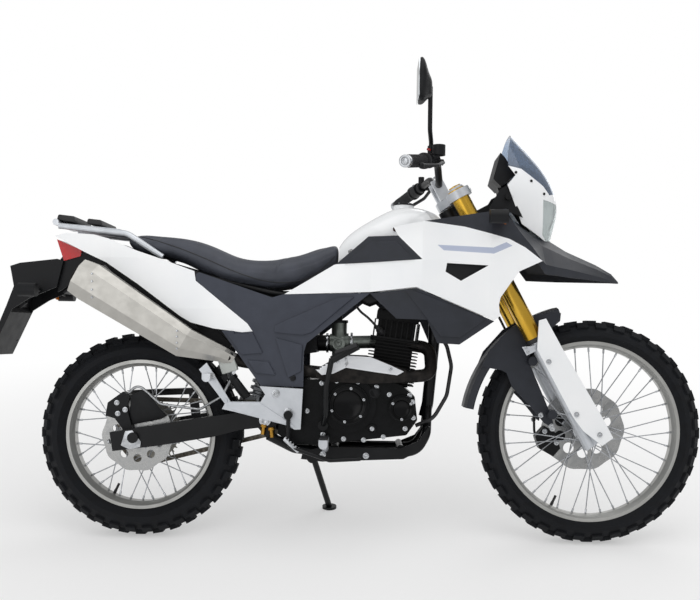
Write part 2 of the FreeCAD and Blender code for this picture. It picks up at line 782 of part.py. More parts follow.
def rim(centre_x, axle_z, radius, width):
    """Rolled rim: two flanges, a bead seat inside each, and the well between them that takes the spokes."""
    half = width / 2
    well, bead = radius - rim_depth, radius - rim_flange_height
    tyre_side = [
        (-half, radius), (-half + rim_wall, radius), (-half + rim_wall, bead), (-half * 0.5, bead),
        (-half * 0.35, well + rim_wall),
    ]
    spoke_side = [(half, bead), (half * 0.75, bead - rim_wall), (half * 0.4, well)]
    profile = tyre_side + [(-y, r) for y, r in reversed(tyre_side)]
    profile += spoke_side + [(-y, r) for y, r in reversed(spoke_side)]
    return turned(profile, centre_x, axle_z)


def spokes(centre_x, axle_z, rim_radius, hub_radius, flange_radius, flange_y):
    """Hub with its two flanges, laced with thirty-six spokes."""
    outer = hub_radius * 0.8
    profile = [
        (-flange_y - flange_wall, axle_radius + axle_fit), (-flange_y - flange_wall, outer),
        (-flange_y - flange_wall / 2, flange_radius), (-flange_y + flange_wall / 2, flange_radius),
        (-flange_y + flange_wall * 1.4, hub_radius), (flange_y - flange_wall * 1.4, hub_radius),
        (flange_y - flange_wall / 2, flange_radius), (flange_y + flange_wall / 2, flange_radius),
        (flange_y + flange_wall, outer), (flange_y + flange_wall, axle_radius + axle_fit),
    ]
    hub = turned(profile, centre_x, axle_z)
    reach = rim_radius - rim_depth - seat_gap - spoke_radius * 0.3
    start = flange_radius - flange_wall / 2
    wires = []
    set_angle = 360 / spoke_sets
    for step in range(spoke_sets):
        for side, lead, phase in ((-1, 1, 0), (1, 1, 0.25), (-1, -1, 0.5), (1, -1, 0.75)):
            rim_angle = math.radians(set_angle * (step + phase))
            hub_angle = rim_angle - lead * math.radians(spoke_cross)
            near = (
                centre_x + start * math.cos(hub_angle), side * (flange_y + lead * spoke_stagger),
                axle_z + start * math.sin(hub_angle),
            )
            far = (
                centre_x + reach * math.cos(rim_angle), side * spoke_stagger * 2,
                axle_z + reach * math.sin(rim_angle),
            )
            wires.append(six_sided_rod(near, far, spoke_radius))
    return hub.multiFuse(wires)


def brake_disc(centre_x, axle_z, radius, y_from, bore):
    """Brake disc with a wavy edge and cooling slots."""
    points = []
    for step in range(disc_waves * 6):
        angle = 2 * math.pi * step / (disc_waves * 6)
        reach = radius - disc_wave_depth * (0.5 - 0.5 * math.cos(disc_waves * angle))
        points.append((centre_x + reach * math.cos(angle), axle_z + reach * math.sin(angle)))
    plate = across(points, y_from, y_from + disc_wall)
    cuts = [drum(centre_x, axle_z, bore, y_from - overrun, y_from + overrun)]
    for step in range(disc_waves):
        angle = 2 * math.pi * (step + 0.5) / disc_waves
        middle = (radius + bore) / 2
        window = drum(
            centre_x + middle * math.cos(angle), axle_z + middle * math.sin(angle),
            (radius - bore) * 0.15, y_from - overrun, y_from + overrun,
        )
        cuts.append(window)
    return plate.cut(Part.makeCompound(cuts))


def sprocket(centre_x, centre_z, teeth, y_middle, bore, wall):
    """Chain sprocket with cut teeth."""
    pitch_radius = chain_pitch / (2 * math.sin(math.pi / teeth))
    root, tip = pitch_radius - roller_radius, pitch_radius + roller_radius * 0.6
    points = []
    for step in range(teeth):
        for phase, reach in ((0, root), (0.3, root), (0.44, tip), (0.56, tip), (0.7, root)):
            angle = 2 * math.pi * (step + phase) / teeth
            points.append((centre_x + reach * math.cos(angle), centre_z + reach * math.sin(angle)))
    plate = across(points, y_middle - wall / 2, y_middle + wall / 2)
    return plate.cut(drum(centre_x, centre_z, bore, y_middle - overrun, y_middle + overrun))


# Wheels
front_x, front_z = wheelbase, front_radius
rear_x, rear_z = 0, rear_radius
nodes["front_tyre"] = tyre(front_x, front_radius, front_width, front_lug_height, front_rim_radius)
nodes["rear_tyre"] = tyre(rear_x, rear_radius, rear_width, rear_lug_height, rear_rim_radius)
nodes["front_rim"] = rim(front_x, front_z, front_rim_radius, front_rim_width)
nodes["rear_rim"] = rim(rear_x, rear_z, rear_rim_radius, rear_rim_width)
nodes["front_spokes"] = spokes(
    front_x, front_z, front_rim_radius, front_hub_radius, front_flange_radius, front_flange_y,
)
nodes["rear_spokes"] = spokes(
    rear_x, rear_z, rear_rim_radius, rear_hub_radius, rear_flange_radius, rear_flange_y,
)

nodes["front_disc"] = brake_disc(front_x, front_z, front_disc_radius, front_disc_y, front_hub_radius * 0.8)
nodes["rear_disc"] = brake_disc(rear_x, rear_z, rear_disc_radius, rear_disc_y, rear_hub_radius * 0.8)
nodes["rear_sprocket"] = sprocket(
    rear_x, rear_z, rear_sprocket_teeth, chain_y, rear_hub_radius * 0.8, sprocket_wall,
)


def wheel_side_mounts():
    """Disc carriers and the sprocket carrier turn with the hubs, and reach from flange to disc."""
    front = turned(
        [
            (front_flange_y + flange_wall, axle_radius + axle_fit),
            (front_flange_y + flange_wall, front_hub_radius * 0.8),
            (front_disc_y + disc_wall, front_hub_radius * 0.8),
            (front_disc_y + disc_wall, axle_radius + axle_fit),
        ],
        front_x, front_z,
    )
    rear_right = turned(
        [
            (-rear_flange_y - flange_wall, axle_radius + axle_fit),
            (-rear_flange_y - flange_wall, rear_hub_radius * 0.8),
            (rear_disc_y, rear_hub_radius * 0.8), (rear_disc_y, axle_radius + axle_fit),
        ],
        rear_x, rear_z,
    )
    rear_left = turned(
        [
            (rear_flange_y + flange_wall, axle_radius + axle_fit),
            (rear_flange_y + flange_wall, rear_hub_radius * 0.8),
            (chain_y + sprocket_wall / 2, rear_hub_radius * 0.8),
            (chain_y + sprocket_wall / 2, axle_radius + axle_fit),
        ],
        rear_x, rear_z,
    )
    return front, rear_right, rear_left


front_carrier, rear_disc_carrier, rear_sprocket_carrier = wheel_side_mounts()
nodes["front_spokes"] = nodes["front_spokes"].fuse(front_carrier)
nodes["rear_spokes"] = nodes["rear_spokes"].multiFuse([rear_disc_carrier, rear_sprocket_carrier])


# Steering: yokes and stem, fork, axle
axle_u, axle_w = in_steering(front_x, front_z)


def yoke(low, leg_hole):
    """A yoke plate: an eye round each leg, joined by a waisted bridge behind the legs."""
    eye = fork_tube_radius + yoke_eye_wall
    height = Vector(0, 0, yoke_wall)
    bridge_points = (
        (-stem_radius * 1.5, -stem_radius * 1.2), (-stem_radius * 1.5, stem_radius * 1.2),
        (fork_offset - eye * 0.6, fork_y - eye * 0.4), (fork_offset + eye * 0.5, fork_y - eye * 0.7),
        (fork_offset - eye * 0.3, 0), (fork_offset + eye * 0.5, eye * 0.7 - fork_y),
        (fork_offset - eye * 0.6, eye * 0.4 - fork_y),
    )
    points = [Vector(u, y, low) for u, y in bridge_points]
    parts = [Part.Face(Part.makePolygon(points + points[:1])).extrude(height)]
    for side in (-1, 1):
        parts.append(Part.makeCylinder(eye, yoke_wall, Vector(fork_offset, side * fork_y, low)))
    plate = joined(parts)
    for side in (-1, 1):
        plate = plate.cut(Part.makeCylinder(leg_hole, yoke_wall, Vector(fork_offset, side * fork_y, low)))
    return plate


def steering_yokes():
    """Both yokes fused with the stem between them, and the two handlebar pedestals on the top one."""
    stem = Part.makeCylinder(stem_radius, top_yoke_low - bottom_yoke_low, Vector(0, 0, bottom_yoke_low))
    parts = [yoke(top_yoke_low, fork_tube_radius), yoke(bottom_yoke_low, fork_tube_radius), stem]
    for side in (-1, 1):
        foot = top_yoke_low + yoke_wall
        pedestal = Part.makeBox(
            bar_radius * 3.2, bar_radius * 2, bar_clamp_w + bar_radius * 1.7 - foot,
            Vector(bar_clamp_u - bar_radius * 1.6, side * bar_clamp_y - bar_radius, foot),
        )
        parts.append(pedestal)
    solid = joined(parts)
    bore = Part.makeCylinder(
        bar_radius + seat_gap, bar_clamp_y * 4, Vector(bar_clamp_u, -bar_clamp_y * 2, bar_clamp_w),
        Vector(0, 1, 0),
    )
    return raked(solid.cut(bore))


def fork_tube(side):
    tube = Part.makeCylinder(
        fork_tube_radius, fork_top - fork_tube_low, Vector(fork_offset, side * fork_y, fork_tube_low),
    )
    cap = Part.makeCylinder(
        fork_tube_radius * 0.7, fork_tube_radius * 0.4, Vector(fork_offset, side * fork_y, fork_top),
    )
    return raked(tube.fuse(cap))


def fork_leg(side):
    """Lower leg with the lug that carries the axle ahead of it."""
    low = axle_w - fork_leg_below_axle
    leg = Part.makeCylinder(fork_leg_radius, fork_tube_low - low, Vector(fork_offset, side * fork_y, low))
    foot_width = fork_leg_radius * 1.8
    lug_points = (
        (fork_offset - fork_leg_radius * 0.9, low - fork_leg_radius * 0.2),
        (axle_u + axle_radius * 1.5, axle_w - axle_radius * 2.6), (axle_u + axle_radius * 2.8, axle_w),
        (axle_u + axle_radius * 1.5, axle_w + axle_radius * 2.6),
        (fork_offset + fork_leg_radius * 0.9, axle_w + fork_leg_radius * 4.5),
        (fork_offset - fork_leg_radius * 0.9, axle_w + fork_leg_radius * 4.5),
    )
    y = side * fork_y - foot_width / 2
    lug = across(lug_points, y, y + foot_width)
    bore = drum(axle_u, axle_w, axle_radius * 1.4, y - overrun, y + foot_width + overrun)
    return raked(leg.fuse(lug).cut(bore))


def fork_room(side):
    """The room that a fork tube and its yoke eyes sweep as they swing back to the steering stop."""
    reach = math.hypot(fork_offset, fork_y)
    half = fork_tube_radius + yoke_eye_wall + fork_clearance
    low, high = fork_tube_low, fork_top + overrun
    inner, outer = reach - half, reach + half
    corners = [Vector(inner, 0, low), Vector(outer, 0, low), Vector(outer, 0, high), Vector(inner, 0, high)]
    section = Part.Face(Part.makePolygon(corners + corners[:1]))
    sector = section.revolve(Vector(0, 0, 0), Vector(0, 0, 1), steering_lock)
    sector = sector.fuse(Part.makeCylinder(half, high - low, Vector(reach, 0, low)))
    stop = Part.makeCylinder(half, high - low, Vector(reach, 0, low))
    stop.rotate(Vector(0, 0, 0), Vector(0, 0, 1), steering_lock)
    sector = sector.fuse(stop)
    sector.rotate(Vector(0, 0, 0), Vector(0, 0, 1), math.degrees(math.atan2(fork_y, fork_offset)))
    sector = raked(sector)
    return sector if side > 0 else mirrored(sector)


fork_lug_half = fork_leg_radius * 0.9
nodes["yokes"] = steering_yokes()
nodes["fork_tubes"] = Part.makeCompound([fork_tube(-1), fork_tube(1)])
nodes["fork_legs"] = Part.makeCompound([fork_leg(-1), fork_leg(1)])


def front_axle():
    """Axle through both lugs and the hub, with a spacer on each side and a nut outside."""
    lug_in, lug_out = fork_y - fork_lug_half, fork_y + fork_lug_half
    spindle = drum(front_x, front_z, axle_radius, -lug_in, lug_in)
    ends = [
        drum(front_x, front_z, axle_radius * 1.4, side, side + fork_lug_half * 2)
        for side in (-lug_out, lug_in)
    ]
    nuts = [
        drum(front_x, front_z, axle_radius * 2, lug_out, lug_out + axle_radius),
        drum(front_x, front_z, axle_radius * 2, -lug_out - axle_radius, -lug_out),
    ]
    hub_right = front_flange_y + flange_wall + seat_gap
    hub_left = front_disc_y + disc_wall + seat_gap
    spacers = [
        drum(front_x, front_z, axle_radius * 1.8, -lug_in, -hub_right),
        drum(front_x, front_z, axle_radius * 1.8, hub_left, lug_in),
    ]
    return joined([spindle] + ends + nuts + spacers)


nodes["front_axle"] = front_axle()

# Handlebar, grips and hand controls
bar_x, _, bar_z = steering_point(bar_clamp_u, 0, bar_clamp_w)
bar_half = ((bar_x, 0, bar_z), (bar_x, bar_clamp_y * 1.7, bar_z)) + in_space(bar_space, bar_bend_shares)
grip_start_share = 0.32
grip_flange_share = 0.05
lever_end_share = 0.98
lever_bend_share = 0.45
perch_shares = (0.02, 0.10)
switch_shares = (0.13, 0.29)
reservoir_share = 0.2


def bar_place(share):
    """A place on the straight end of the right-hand half of the bar."""
    inner, outer = bar_half[-2], bar_half[-1]
    return tuple(a + (b - a) * share for a, b in zip(inner, outer))


def flipped(place):
    return (place[0], -place[1], place[2])


def raised(place, height):
    return (place[0], place[1], place[2] + height)


bar_points = [flipped(place) for place in reversed(bar_half)] + list(bar_half[1:])
bar_points = [place for place in bar_points if place[1] != 0]
nodes["handlebar"] = bent_tube(bar_points, bar_radius, bar_radius * 6)


def grips():
    start, end = bar_place(grip_start_share), bar_place(1)
    direction = Vector(*end) - Vector(*start)
    beyond = Vector(*end) + direction.normalize() * bar_radius
    left = rod(start, beyond, grip_radius)
    rim_ring = rod(start, bar_place(grip_start_share + grip_flange_share), grip_radius * 1.4)
    return both_sides(left.fuse(rim_ring).cut(nodes["handlebar"]))


nodes["grips"] = grips()


def hand_controls(side):
    """Lever perch with its lever, and the switch block inboard of it."""
    perch = rod(bar_place(perch_shares[0]), bar_place(perch_shares[1]), bar_radius * 1.6)
    switch = rod(bar_place(switch_shares[0]), bar_place(switch_shares[1]), bar_radius * 1.95)
    knuckle = [a + b for a, b in zip(bar_place(perch_shares[0]), (bar_radius * 3, 0, -bar_radius * 0.4))]
    arm = rod(bar_place((perch_shares[0] + perch_shares[1]) / 2), knuckle, bar_radius * 0.8)
    outer = bar_place(lever_end_share)
    reach = (bar_radius * 4.2, 0, -bar_radius)
    middle = [a + b for a, b in zip(bar_place(lever_bend_share), reach)]
    tip = [a + b for a, b in zip(outer, (bar_radius * 3.4, 0, -bar_radius))]
    lever = bent_tube([knuckle, middle, tip], bar_radius * 0.5, bar_radius * 8)
    ball = Part.makeSphere(bar_radius * 0.75, Vector(*tip))
    boss = bar_place((perch_shares[0] + perch_shares[1]) / 2)
    boss_top = raised(boss, mirror_boss_height)
    stand = rod(boss, boss_top, mirror_boss_radius)
    parts = [perch, switch, arm, lever, ball, stand]
    if side < 0:
        neck = bar_place(reservoir_share)
        foot = (neck[0] + reservoir_ahead, neck[1], neck[2] + reservoir_ahead / 2)
        parts.append(rod(foot, raised(foot, reservoir_height), reservoir_radius))
        parts.append(rod(neck, foot, bar_radius))
    solid = joined(parts).cut(nodes["handlebar"])
    hole_low = raised(boss, mirror_boss_height - mirror_hole_depth)
    solid = solid.cut(rod(hole_low, raised(boss_top, overrun), mirror_hole_radius))
    solid = mirrored(solid) if side < 0 else solid
    return solid.cut(nodes["grips"])


nodes["hand_controls"] = Part.makeCompound([hand_controls(-1), hand_controls(1)])


def mirror():
    """Right mirror: a threaded stem in the perch's boss, and a wedge shell with its glass to the rider."""
    foot = flipped(bar_place((perch_shares[0] + perch_shares[1]) / 2))
    seat = raised(foot, mirror_boss_height - mirror_hole_depth + seat_gap)
    top = raised(foot, mirror_boss_height * 1.5)
    nut = rod(
        raised(foot, mirror_boss_height), raised(foot, mirror_boss_height + mirror_nut_height),
        mirror_boss_radius,
    )
    route = [seat, top] + list(in_space(mirror_stem_space, mirror_stem_shares))
    stem = bent_tube(route, mirror_stem_radius, mirror_stem_radius * 6)
    sleeve_foot = raised(foot, mirror_boss_height + mirror_nut_height / 2)
    sleeve = bent_tube([sleeve_foot] + route[1:], mirror_sleeve_radius, mirror_stem_radius * 6)
    sections = []
    for x, half_width, low, high in in_space(mirror_space, mirror_shares):
        section = round_section(x, half_width, low, high, mirror_squareness)
        section.translate(Vector(0, mirror_y, 0))
        sections.append(section)
    return joined([stem, nut, sleeve]).fuse(Part.makeLoft(sections, True, False))


nodes["mirror"] = mirror().cut(nodes["handlebar"])


def front_mudguard():
    """Arched mudguard behind the fork, with a side plate bolted to each leg."""
    half, wall = mudguard_half_width, mudguard_wall
    outer = [
        (-half, mudguard_radius - half * 0.4), (-half * 0.9, mudguard_radius - half * 0.1),
        (-half * 0.5, mudguard_radius),
    ]
    outer += [(-y, r) for y, r in reversed(outer)]
    inner = [(y * (1 - wall / half), r - wall) for y, r in reversed(outer)]
    arch = turned(outer + inner, front_x, front_z, mudguard_rear_angle - mudguard_front_angle)
    arch.rotate(Vector(front_x, 0, front_z), Vector(0, 1, 0), 90 - mudguard_rear_angle)
    plate = across(in_field(mudguard_field, mudguard_plate_shares), -half, wall - half)
    bosses = [
        drum(x, z, mudguard_bolt_radius, -fork_y, wall / 2 - half)
        for x, z in in_field(mudguard_field, mudguard_bolt_shares)
    ]
    side = joined([plate] + bosses)
    room = drum(
        front_x, front_z, front_disc_radius + disc_room, front_disc_y - disc_room, front_disc_y + disc_room,
    )
    return joined([arch, side, mirrored(side)]).cut(nodes["fork_legs"]).cut(nodes["fork_tubes"]).cut(room)


nodes["front_mudguard"] = front_mudguard()


def fork_guard():
    """White guard over the outside and front of the right leg."""
    leg_out = fork_y + fork_tube_radius + guard_gap
    shell = across(in_field(guard_field, guard_shares), -leg_out - panel_wall, -leg_out)
    edge = across(in_field(guard_field, guard_edge_shares), -leg_out, -fork_y)
    bosses = [
        drum(x, z, fork_leg_radius * 0.5, -leg_out, -fork_y)
        for x, z in in_field(guard_field, guard_bolt_shares)
    ]
    return joined([shell, edge] + bosses).cut(nodes["fork_legs"]).cut(nodes["fork_tubes"])


nodes["fork_guards"] = both_sides(fork_guard()).cut(nodes["front_axle"])


def caliper(outline, disc_from, body_half, window):
    """Brake caliper that straddles a disc with running room on both faces."""
    middle = disc_from + disc_wall / 2
    block = across(outline, middle - body_half, middle + body_half)
    block = block.makeFillet(
        body_half * 0.2, [edge for edge in block.Edges if abs(edge.tangentAt(0).y) > 0.9],
    )
    return block.cut(window)


def front_caliper():
    room = disc_wall / 2 + caliper_room
    middle = front_disc_y + disc_wall / 2
    window = drum(front_x, front_z, front_disc_radius + caliper_room * 2, middle - room, middle + room)
    body = caliper(in_field(front_caliper_field, front_caliper_shares), front_disc_y, caliper_half, window)
    bracket = across(in_field(front_caliper_field, front_caliper_bracket_shares), middle + room, fork_y)
    return body.fuse(bracket).removeSplitter().cut(nodes["fork_legs"]).cut(nodes["front_axle"])


nodes["front_caliper"] = front_caliper()


# Frame


def main_frame():
    """Welded tube frame: head pipe, backbone, down tube, cradle, pivot plates and seat rails."""
    head_pipe = Part.makeCylinder(head_radius, head_high - head_low, Vector(0, 0, head_low))
    stay = Part.makeBox(
        stay_length, stay_half_width * 2, stay_height,
        Vector(head_radius * 0.6, -stay_half_width, stay_low),
    )
    front_bar = Part.makeCylinder(
        rail_radius * 0.8, nose_bar_half * 2,
        Vector(stay_length + head_radius * 0.5, -nose_bar_half, stay_low + stay_height / 2),
        Vector(0, 1, 0),
    )
    parts = [raked(head_pipe.fuse(stay).fuse(front_bar))]
    bar_u, bar_w = stay_length + head_radius * 0.5, stay_low + stay_height / 2
    for side in (-1, 1):
        strut_foot = (nose_strut_foot[0], side * nose_strut_y, nose_strut_foot[1])
        parts.append(rod(steering_point(bar_u, side * nose_strut_y, bar_w), strut_foot, bracket_radius))
    top = steering_point(0, 0, head_high * 0.2)
    low = steering_point(0, 0, head_low * 0.2)
    parts.append(
        bent_tube([top] + list(in_space(frame_space, backbone_shares)), backbone_radius, backbone_radius * 5),
    )
    parts.append(
        bent_tube([low] + list(in_space(frame_space, down_tube_shares)), tube_radius * 1.3, tube_radius * 6),
    )
    for side in (-1, 1):
        parts.append(
            bent_tube(
                [(x, side * y, z) for x, y, z in in_space(frame_space, cradle_shares)], tube_radius,
                tube_radius * 4,
            )
        )
        parts.append(
            bent_tube(
                [(x, side * y, z) for x, y, z in in_space(frame_space, seat_rail_shares)], rail_radius,
                rail_radius * 8,
            )
        )
        parts.append(
            bent_tube(
                [(x, side * y, z) for x, y, z in in_space(frame_space, lower_rail_shares)], rail_radius,
                rail_radius * 6,
            )
        )
        y = side * pivot_plate_y
        parts.append(
            across(
                in_field(pivot_plate_field, pivot_plate_shares), y - pivot_plate_wall / 2,
                y + pivot_plate_wall / 2,
            ),
        )
        y = side * upper_plate_y
        parts.append(
            across(
                in_field(pivot_plate_field, upper_plate_shares), y - pivot_plate_wall / 2,
                y + pivot_plate_wall / 2,
            ),
        )
    for x, z, radius in cross_tubes:
        reach = bodywork_half(x, z) - panel_wall / 2
        parts.append(drum(x, z, radius, -reach, reach))
    for x, y, z, radius in short_cross_tubes:
        parts.append(drum(x, z, radius, -y, y))
    frame = joined(parts)
    bore_radius = stem_radius + stem_fit
    bore = Part.makeCylinder(bore_radius, head_high * 3, Vector(0, 0, head_low * 1.5))
    frame = frame.cut(raked(bore))
    return frame


frame_solid = main_frame()
outer_skin, inner_skin = bodywork_skin(0), bodywork_skin(lower_panel_step)


def flank(name, skin, field, shares, openings=()):
    """A pair of panels, right and left, with their openings cut through."""
    wall = panel(skin, field, shares)
    for opening in openings:
        wall = wall.cut(across(in_field(field, opening), -bodywork_half_width - overrun, 0))
    nodes[name] = both_sides(wall)


flank("tank_shrouds", outer_skin, front_field, shroud_shares, (slot_shares, vent_shares))
flank("light_strips", outer_skin, front_field, slot_shares)
flank("knee_panels", outer_skin, front_field, knee_shares)
flank("lower_panels", outer_skin, front_field, lower_shares)
flank("nose_panels", outer_skin, front_field, strip_shares)
flank("tail_fairings", outer_skin, rear_field, tail_shares)
flank("side_panels", outer_skin, rear_field, side_shares)
panel_names = (
    "tank_shrouds", "light_strips", "knee_panels", "lower_panels", "nose_panels", "tail_fairings",
    "side_panels",
)
for name in ("tail_fairings", "tank_shrouds"):
    nodes["side_panels"] = nodes["side_panels"].cut(nodes[name])
for name in panel_names:
    frame_solid = frame_solid.cut(nodes[name])

# Engine


def crankcase():
    """Crankcase with the clutch and pump covers on its right and the generator cover on its left."""
    case = across(in_field(case_field, case_shares), -case_half_width, case_half_width)
    long_edges = [edge for edge in case.Edges if abs(edge.tangentAt(edge.FirstParameter).y) > 0.9]
    case = case.makeFillet(case_half_width * 0.08, long_edges)
    covers = [
        drum(clutch_x, clutch_z, clutch_radius, clutch_out_y, 0),
        drum(clutch_x, clutch_z, clutch_radius * 1.35, -case_half_width * 1.12, 0),
        drum(oil_cover_x, oil_cover_z, oil_cover_radius, oil_cover_out_y, 0),
        drum(generator_x, generator_z, generator_radius, 0, generator_out_y),
    ]
    return joined([case] + covers)


def cylinder():
    """Finned barrel, head and rocker cover, leaning forward, with the ports front and rear."""
    parts = []
    core = Part.makeBox(
        fin_gap_length, fin_gap_width, fin_pitch * fin_count,
        Vector(-fin_gap_length / 2, -fin_gap_width / 2, 0),
    )
    parts.append(core)
    for step in range(fin_count):
        fin = Part.makeBox(
            fin_length, fin_width, fin_wall,
            Vector(-fin_length / 2, -fin_width / 2, fin_pitch * (step + 0.5)),
        )
        corners = [edge for edge in fin.Edges if abs(edge.tangentAt(edge.FirstParameter).z) > 0.9]
        parts.append(fin.makeFillet(fin_wall * 5, corners))
    barrel_top = fin_pitch * fin_count
    head_corner = Vector(-fin_gap_length / 2, -fin_gap_width / 2, barrel_top)
    parts.append(Part.makeBox(fin_gap_length, fin_gap_width, head_height, head_corner))
    deck = Part.makeBox(
        fin_length, fin_width, fin_wall * 2, Vector(-fin_length / 2, -fin_width / 2, barrel_top),
    )
    corners = [edge for edge in deck.Edges if abs(edge.tangentAt(edge.FirstParameter).z) > 0.9]
    parts.append(deck.makeFillet(fin_wall * 5, corners))
    rib_pitch = (fin_length - head_rib_wall * 4) / (head_rib_count - 1)
    for step in range(head_rib_count):
        x = rib_pitch * (step - (head_rib_count - 1) / 2) - head_rib_wall / 2
        parts.append(
            Part.makeBox(
                head_rib_wall, fin_width * 0.94, head_height, Vector(x, -fin_width * 0.47, barrel_top),
            ),
        )
    top = barrel_top + head_height
    cover = Part.makeBox(
        fin_length * 0.86, fin_width * 0.8, head_cover_height,
        Vector(-fin_length * 0.43, -fin_width * 0.4, top),
    )
    cover = cover.makeFillet(
        head_cover_height * 0.3,
        [edge for edge in cover.Edges if edge.BoundBox.ZMin > top + head_cover_height / 2],
    )
    parts.append(cover)
    solid = joined(parts)
    solid.rotate(Vector(0, 0, 0), Vector(0, 1, 0), cylinder_tilt)
    solid.translate(Vector(cylinder_x, 0, cylinder_z))
    return solid


nodes["crankcase"] = crankcase()
nodes["cylinder"] = largest(cylinder().cut(nodes["crankcase"]))
header_route = in_space(header_space, header_shares)
header = bent_tube(header_route, header_radius, header_bend)
nodes["exhaust_header"] = largest(header.cut(nodes["cylinder"]).cut(nodes["crankcase"]))


def silencer():
    """Faceted can that widens towards its slanted end, on a tapered cone."""
    sections = []
    first, last = silencer_stations[0], silencer_stations[-1]
    along = Vector(last[0] - first[0], 0, last[2] - first[2]).normalize()
    up = Vector(0, 1, 0).cross(along)
    for x, y, z, height, width in silencer_stations:
        points = []
        for up_share, out_share in silencer_section_shares:
            points.append(Vector(x, y, z) + up * (up_share * height) + Vector(0, -out_share * width, 0))
        sections.append(Part.makePolygon(points + points[:1]))
    return Part.makeLoft(sections, True, True)


nodes["silencer"] = silencer().cut(nodes["exhaust_header"])

shield_out_y = header_route[4][1] - header_radius - shield_wall
shield_room = bent_tube(header_route, header_radius + seat_gap, header_bend)
nodes["header_shield"] = across(
    in_field(shield_field, shield_shares), shield_out_y, shield_out_y + shield_wall * 2,
).cut(shield_room)

# Fuel tank and seat
tank = lofted_form(in_space(tank_space, tank_shares), tank_squareness)
cap = Part.makeCylinder(cap_radius, cap_height * 2, Vector(cap_x, 0, tank_top - cap_height))
nodes["fuel_tank"] = tank.fuse(cap).cut(frame_solid).cut(fork_room(1)).cut(fork_room(-1))
for name in panel_names:
    nodes["fuel_tank"] = nodes["fuel_tank"].cut(nodes[name])
seat = lofted_form(
    in_space(seat_space, seat_shares), seat_squareness,
).cut(frame_solid).cut(nodes["fuel_tank"])
for name in panel_names:
    seat = seat.cut(nodes[name])
nodes["seat"] = seat
nodes["main_frame"] = frame_solid


nodes["main_frame"] = largest(nodes["main_frame"])
nodes["crankcase"] = nodes["crankcase"].cut(nodes["main_frame"])


# Swingarm, axle and chain line
def swingarm():
    """Two box arms welded to a cross member and a pivot tube, with the rear axle through their ends."""
    arm = across(in_field(arm_field, arm_shares), arm_y_in, arm_y_out)
    pivot = drum(pivot_x, pivot_z, pivot_radius, -arm_y_out, arm_y_out)
    cross = across(in_field(arm_field, arm_cross_shares), -arm_y_in, arm_y_in)
    parts = [arm, mirrored(arm), pivot, cross]
    parts.append(drum(rear_x, rear_z, axle_radius, -arm_y_out, arm_y_out))
    for side in (-1, 1):
        nut_from = arm_y_out if side > 0 else -arm_y_out - axle_radius * 1.5
        parts.append(drum(rear_x, rear_z, axle_radius * 2, nut_from, nut_from + axle_radius * 1.5))
    hub_right = -rear_disc_y + seat_gap
    hub_left = chain_y + sprocket_wall / 2 + seat_gap
    parts.append(drum(rear_x, rear_z, axle_radius * 1.8, -arm_y_in, -hub_right))
    parts.append(drum(rear_x, rear_z, axle_radius * 1.8, hub_left, arm_y_in))
    bore = drum(pivot_x, pivot_z, pivot_bolt_radius, -arm_y_out - overrun, arm_y_out + overrun)
    return joined(parts).cut(bore)


swingarm_solid = swingarm()
plate_in = pivot_plate_y - pivot_plate_wall / 2
bolt_out = pivot_plate_y + pivot_plate_wall * 1.2
pivot_bolt = drum(pivot_x, pivot_z, pivot_bolt_radius, -bolt_out, bolt_out)
nodes["swingarm"] = swingarm_solid


def shock():
    """Single damper between the swingarm's cross member and the frame, inside a coil spring."""
    low, high = Vector(*shock_low), Vector(*shock_high)
    along = (high - low).normalize()
    length = (high - low).Length
    spring_low, spring_high = length * 0.12, length * 0.82
    rings = round((spring_high - spring_low) / spring_pitch)
    pitch = (spring_high - spring_low) / rings
    waist, crest = spring_radius - spring_wire_radius * 1.6, spring_radius
    profile = [(0, shock_rod_radius), (spring_low, shock_rod_radius), (spring_low, crest)]
    for ring in range(rings):
        base = spring_low + pitch * ring
        profile += [
            (base + pitch * 0.2, crest), (base + pitch * 0.35, waist), (base + pitch * 0.65, waist),
            (base + pitch * 0.8, crest),
        ]
    profile += [(spring_high, crest), (spring_high, shock_body_radius), (length * 0.96, shock_body_radius)]
    points = [Vector(radius, 0, height) for height, radius in profile]
    points += [Vector(0, 0, length * 0.96), Vector(0, 0, 0)]
    body = Part.Face(Part.makePolygon(points + points[:1])).revolve(Vector(0, 0, 0), Vector(0, 0, 1), 360)
    body.rotate(Vector(0, 0, 0), Vector(0, 1, 0), math.degrees(math.atan2(along.x, along.z)))
    body.translate(low)
    parts = [body, rod(shock_low, shock_high, shock_rod_radius)]
    for x, _, z in (shock_low, shock_high):
        parts.append(drum(x, z, shock_eye_radius, -shock_eye_half, shock_eye_half))
    return joined(parts)


nodes["rear_shock"] = largest(shock().cut(nodes["main_frame"]).cut(nodes["swingarm"]))


def chain_run(offset):
    """The chain's loop round both sprockets, offset outwards, as a closed side outline."""
    rear_pitch = chain_pitch / (2 * math.sin(math.pi / rear_sprocket_teeth)) + offset
    front_pitch = chain_pitch / (2 * math.sin(math.pi / front_sprocket_teeth)) + offset
    dx, dz = output_shaft_x - rear_x, output_shaft_z - rear_z
    distance = math.hypot(dx, dz)
    heading = math.atan2(dz, dx)
    splay = math.acos((rear_pitch - front_pitch) / distance)
    places = []
    for x, z, radius, turn in (
        (rear_x, rear_z, rear_pitch, heading + splay), (rear_x, rear_z, rear_pitch, heading + math.pi),
        (rear_x, rear_z, rear_pitch, heading - splay),
        (output_shaft_x, output_shaft_z, front_pitch, heading - splay),
        (output_shaft_x, output_shaft_z, front_pitch, heading),
        (output_shaft_x, output_shaft_z, front_pitch, heading + splay),
    ):
        places.append(Vector(x + radius * math.cos(turn), 0, z + radius * math.sin(turn)))
    return places


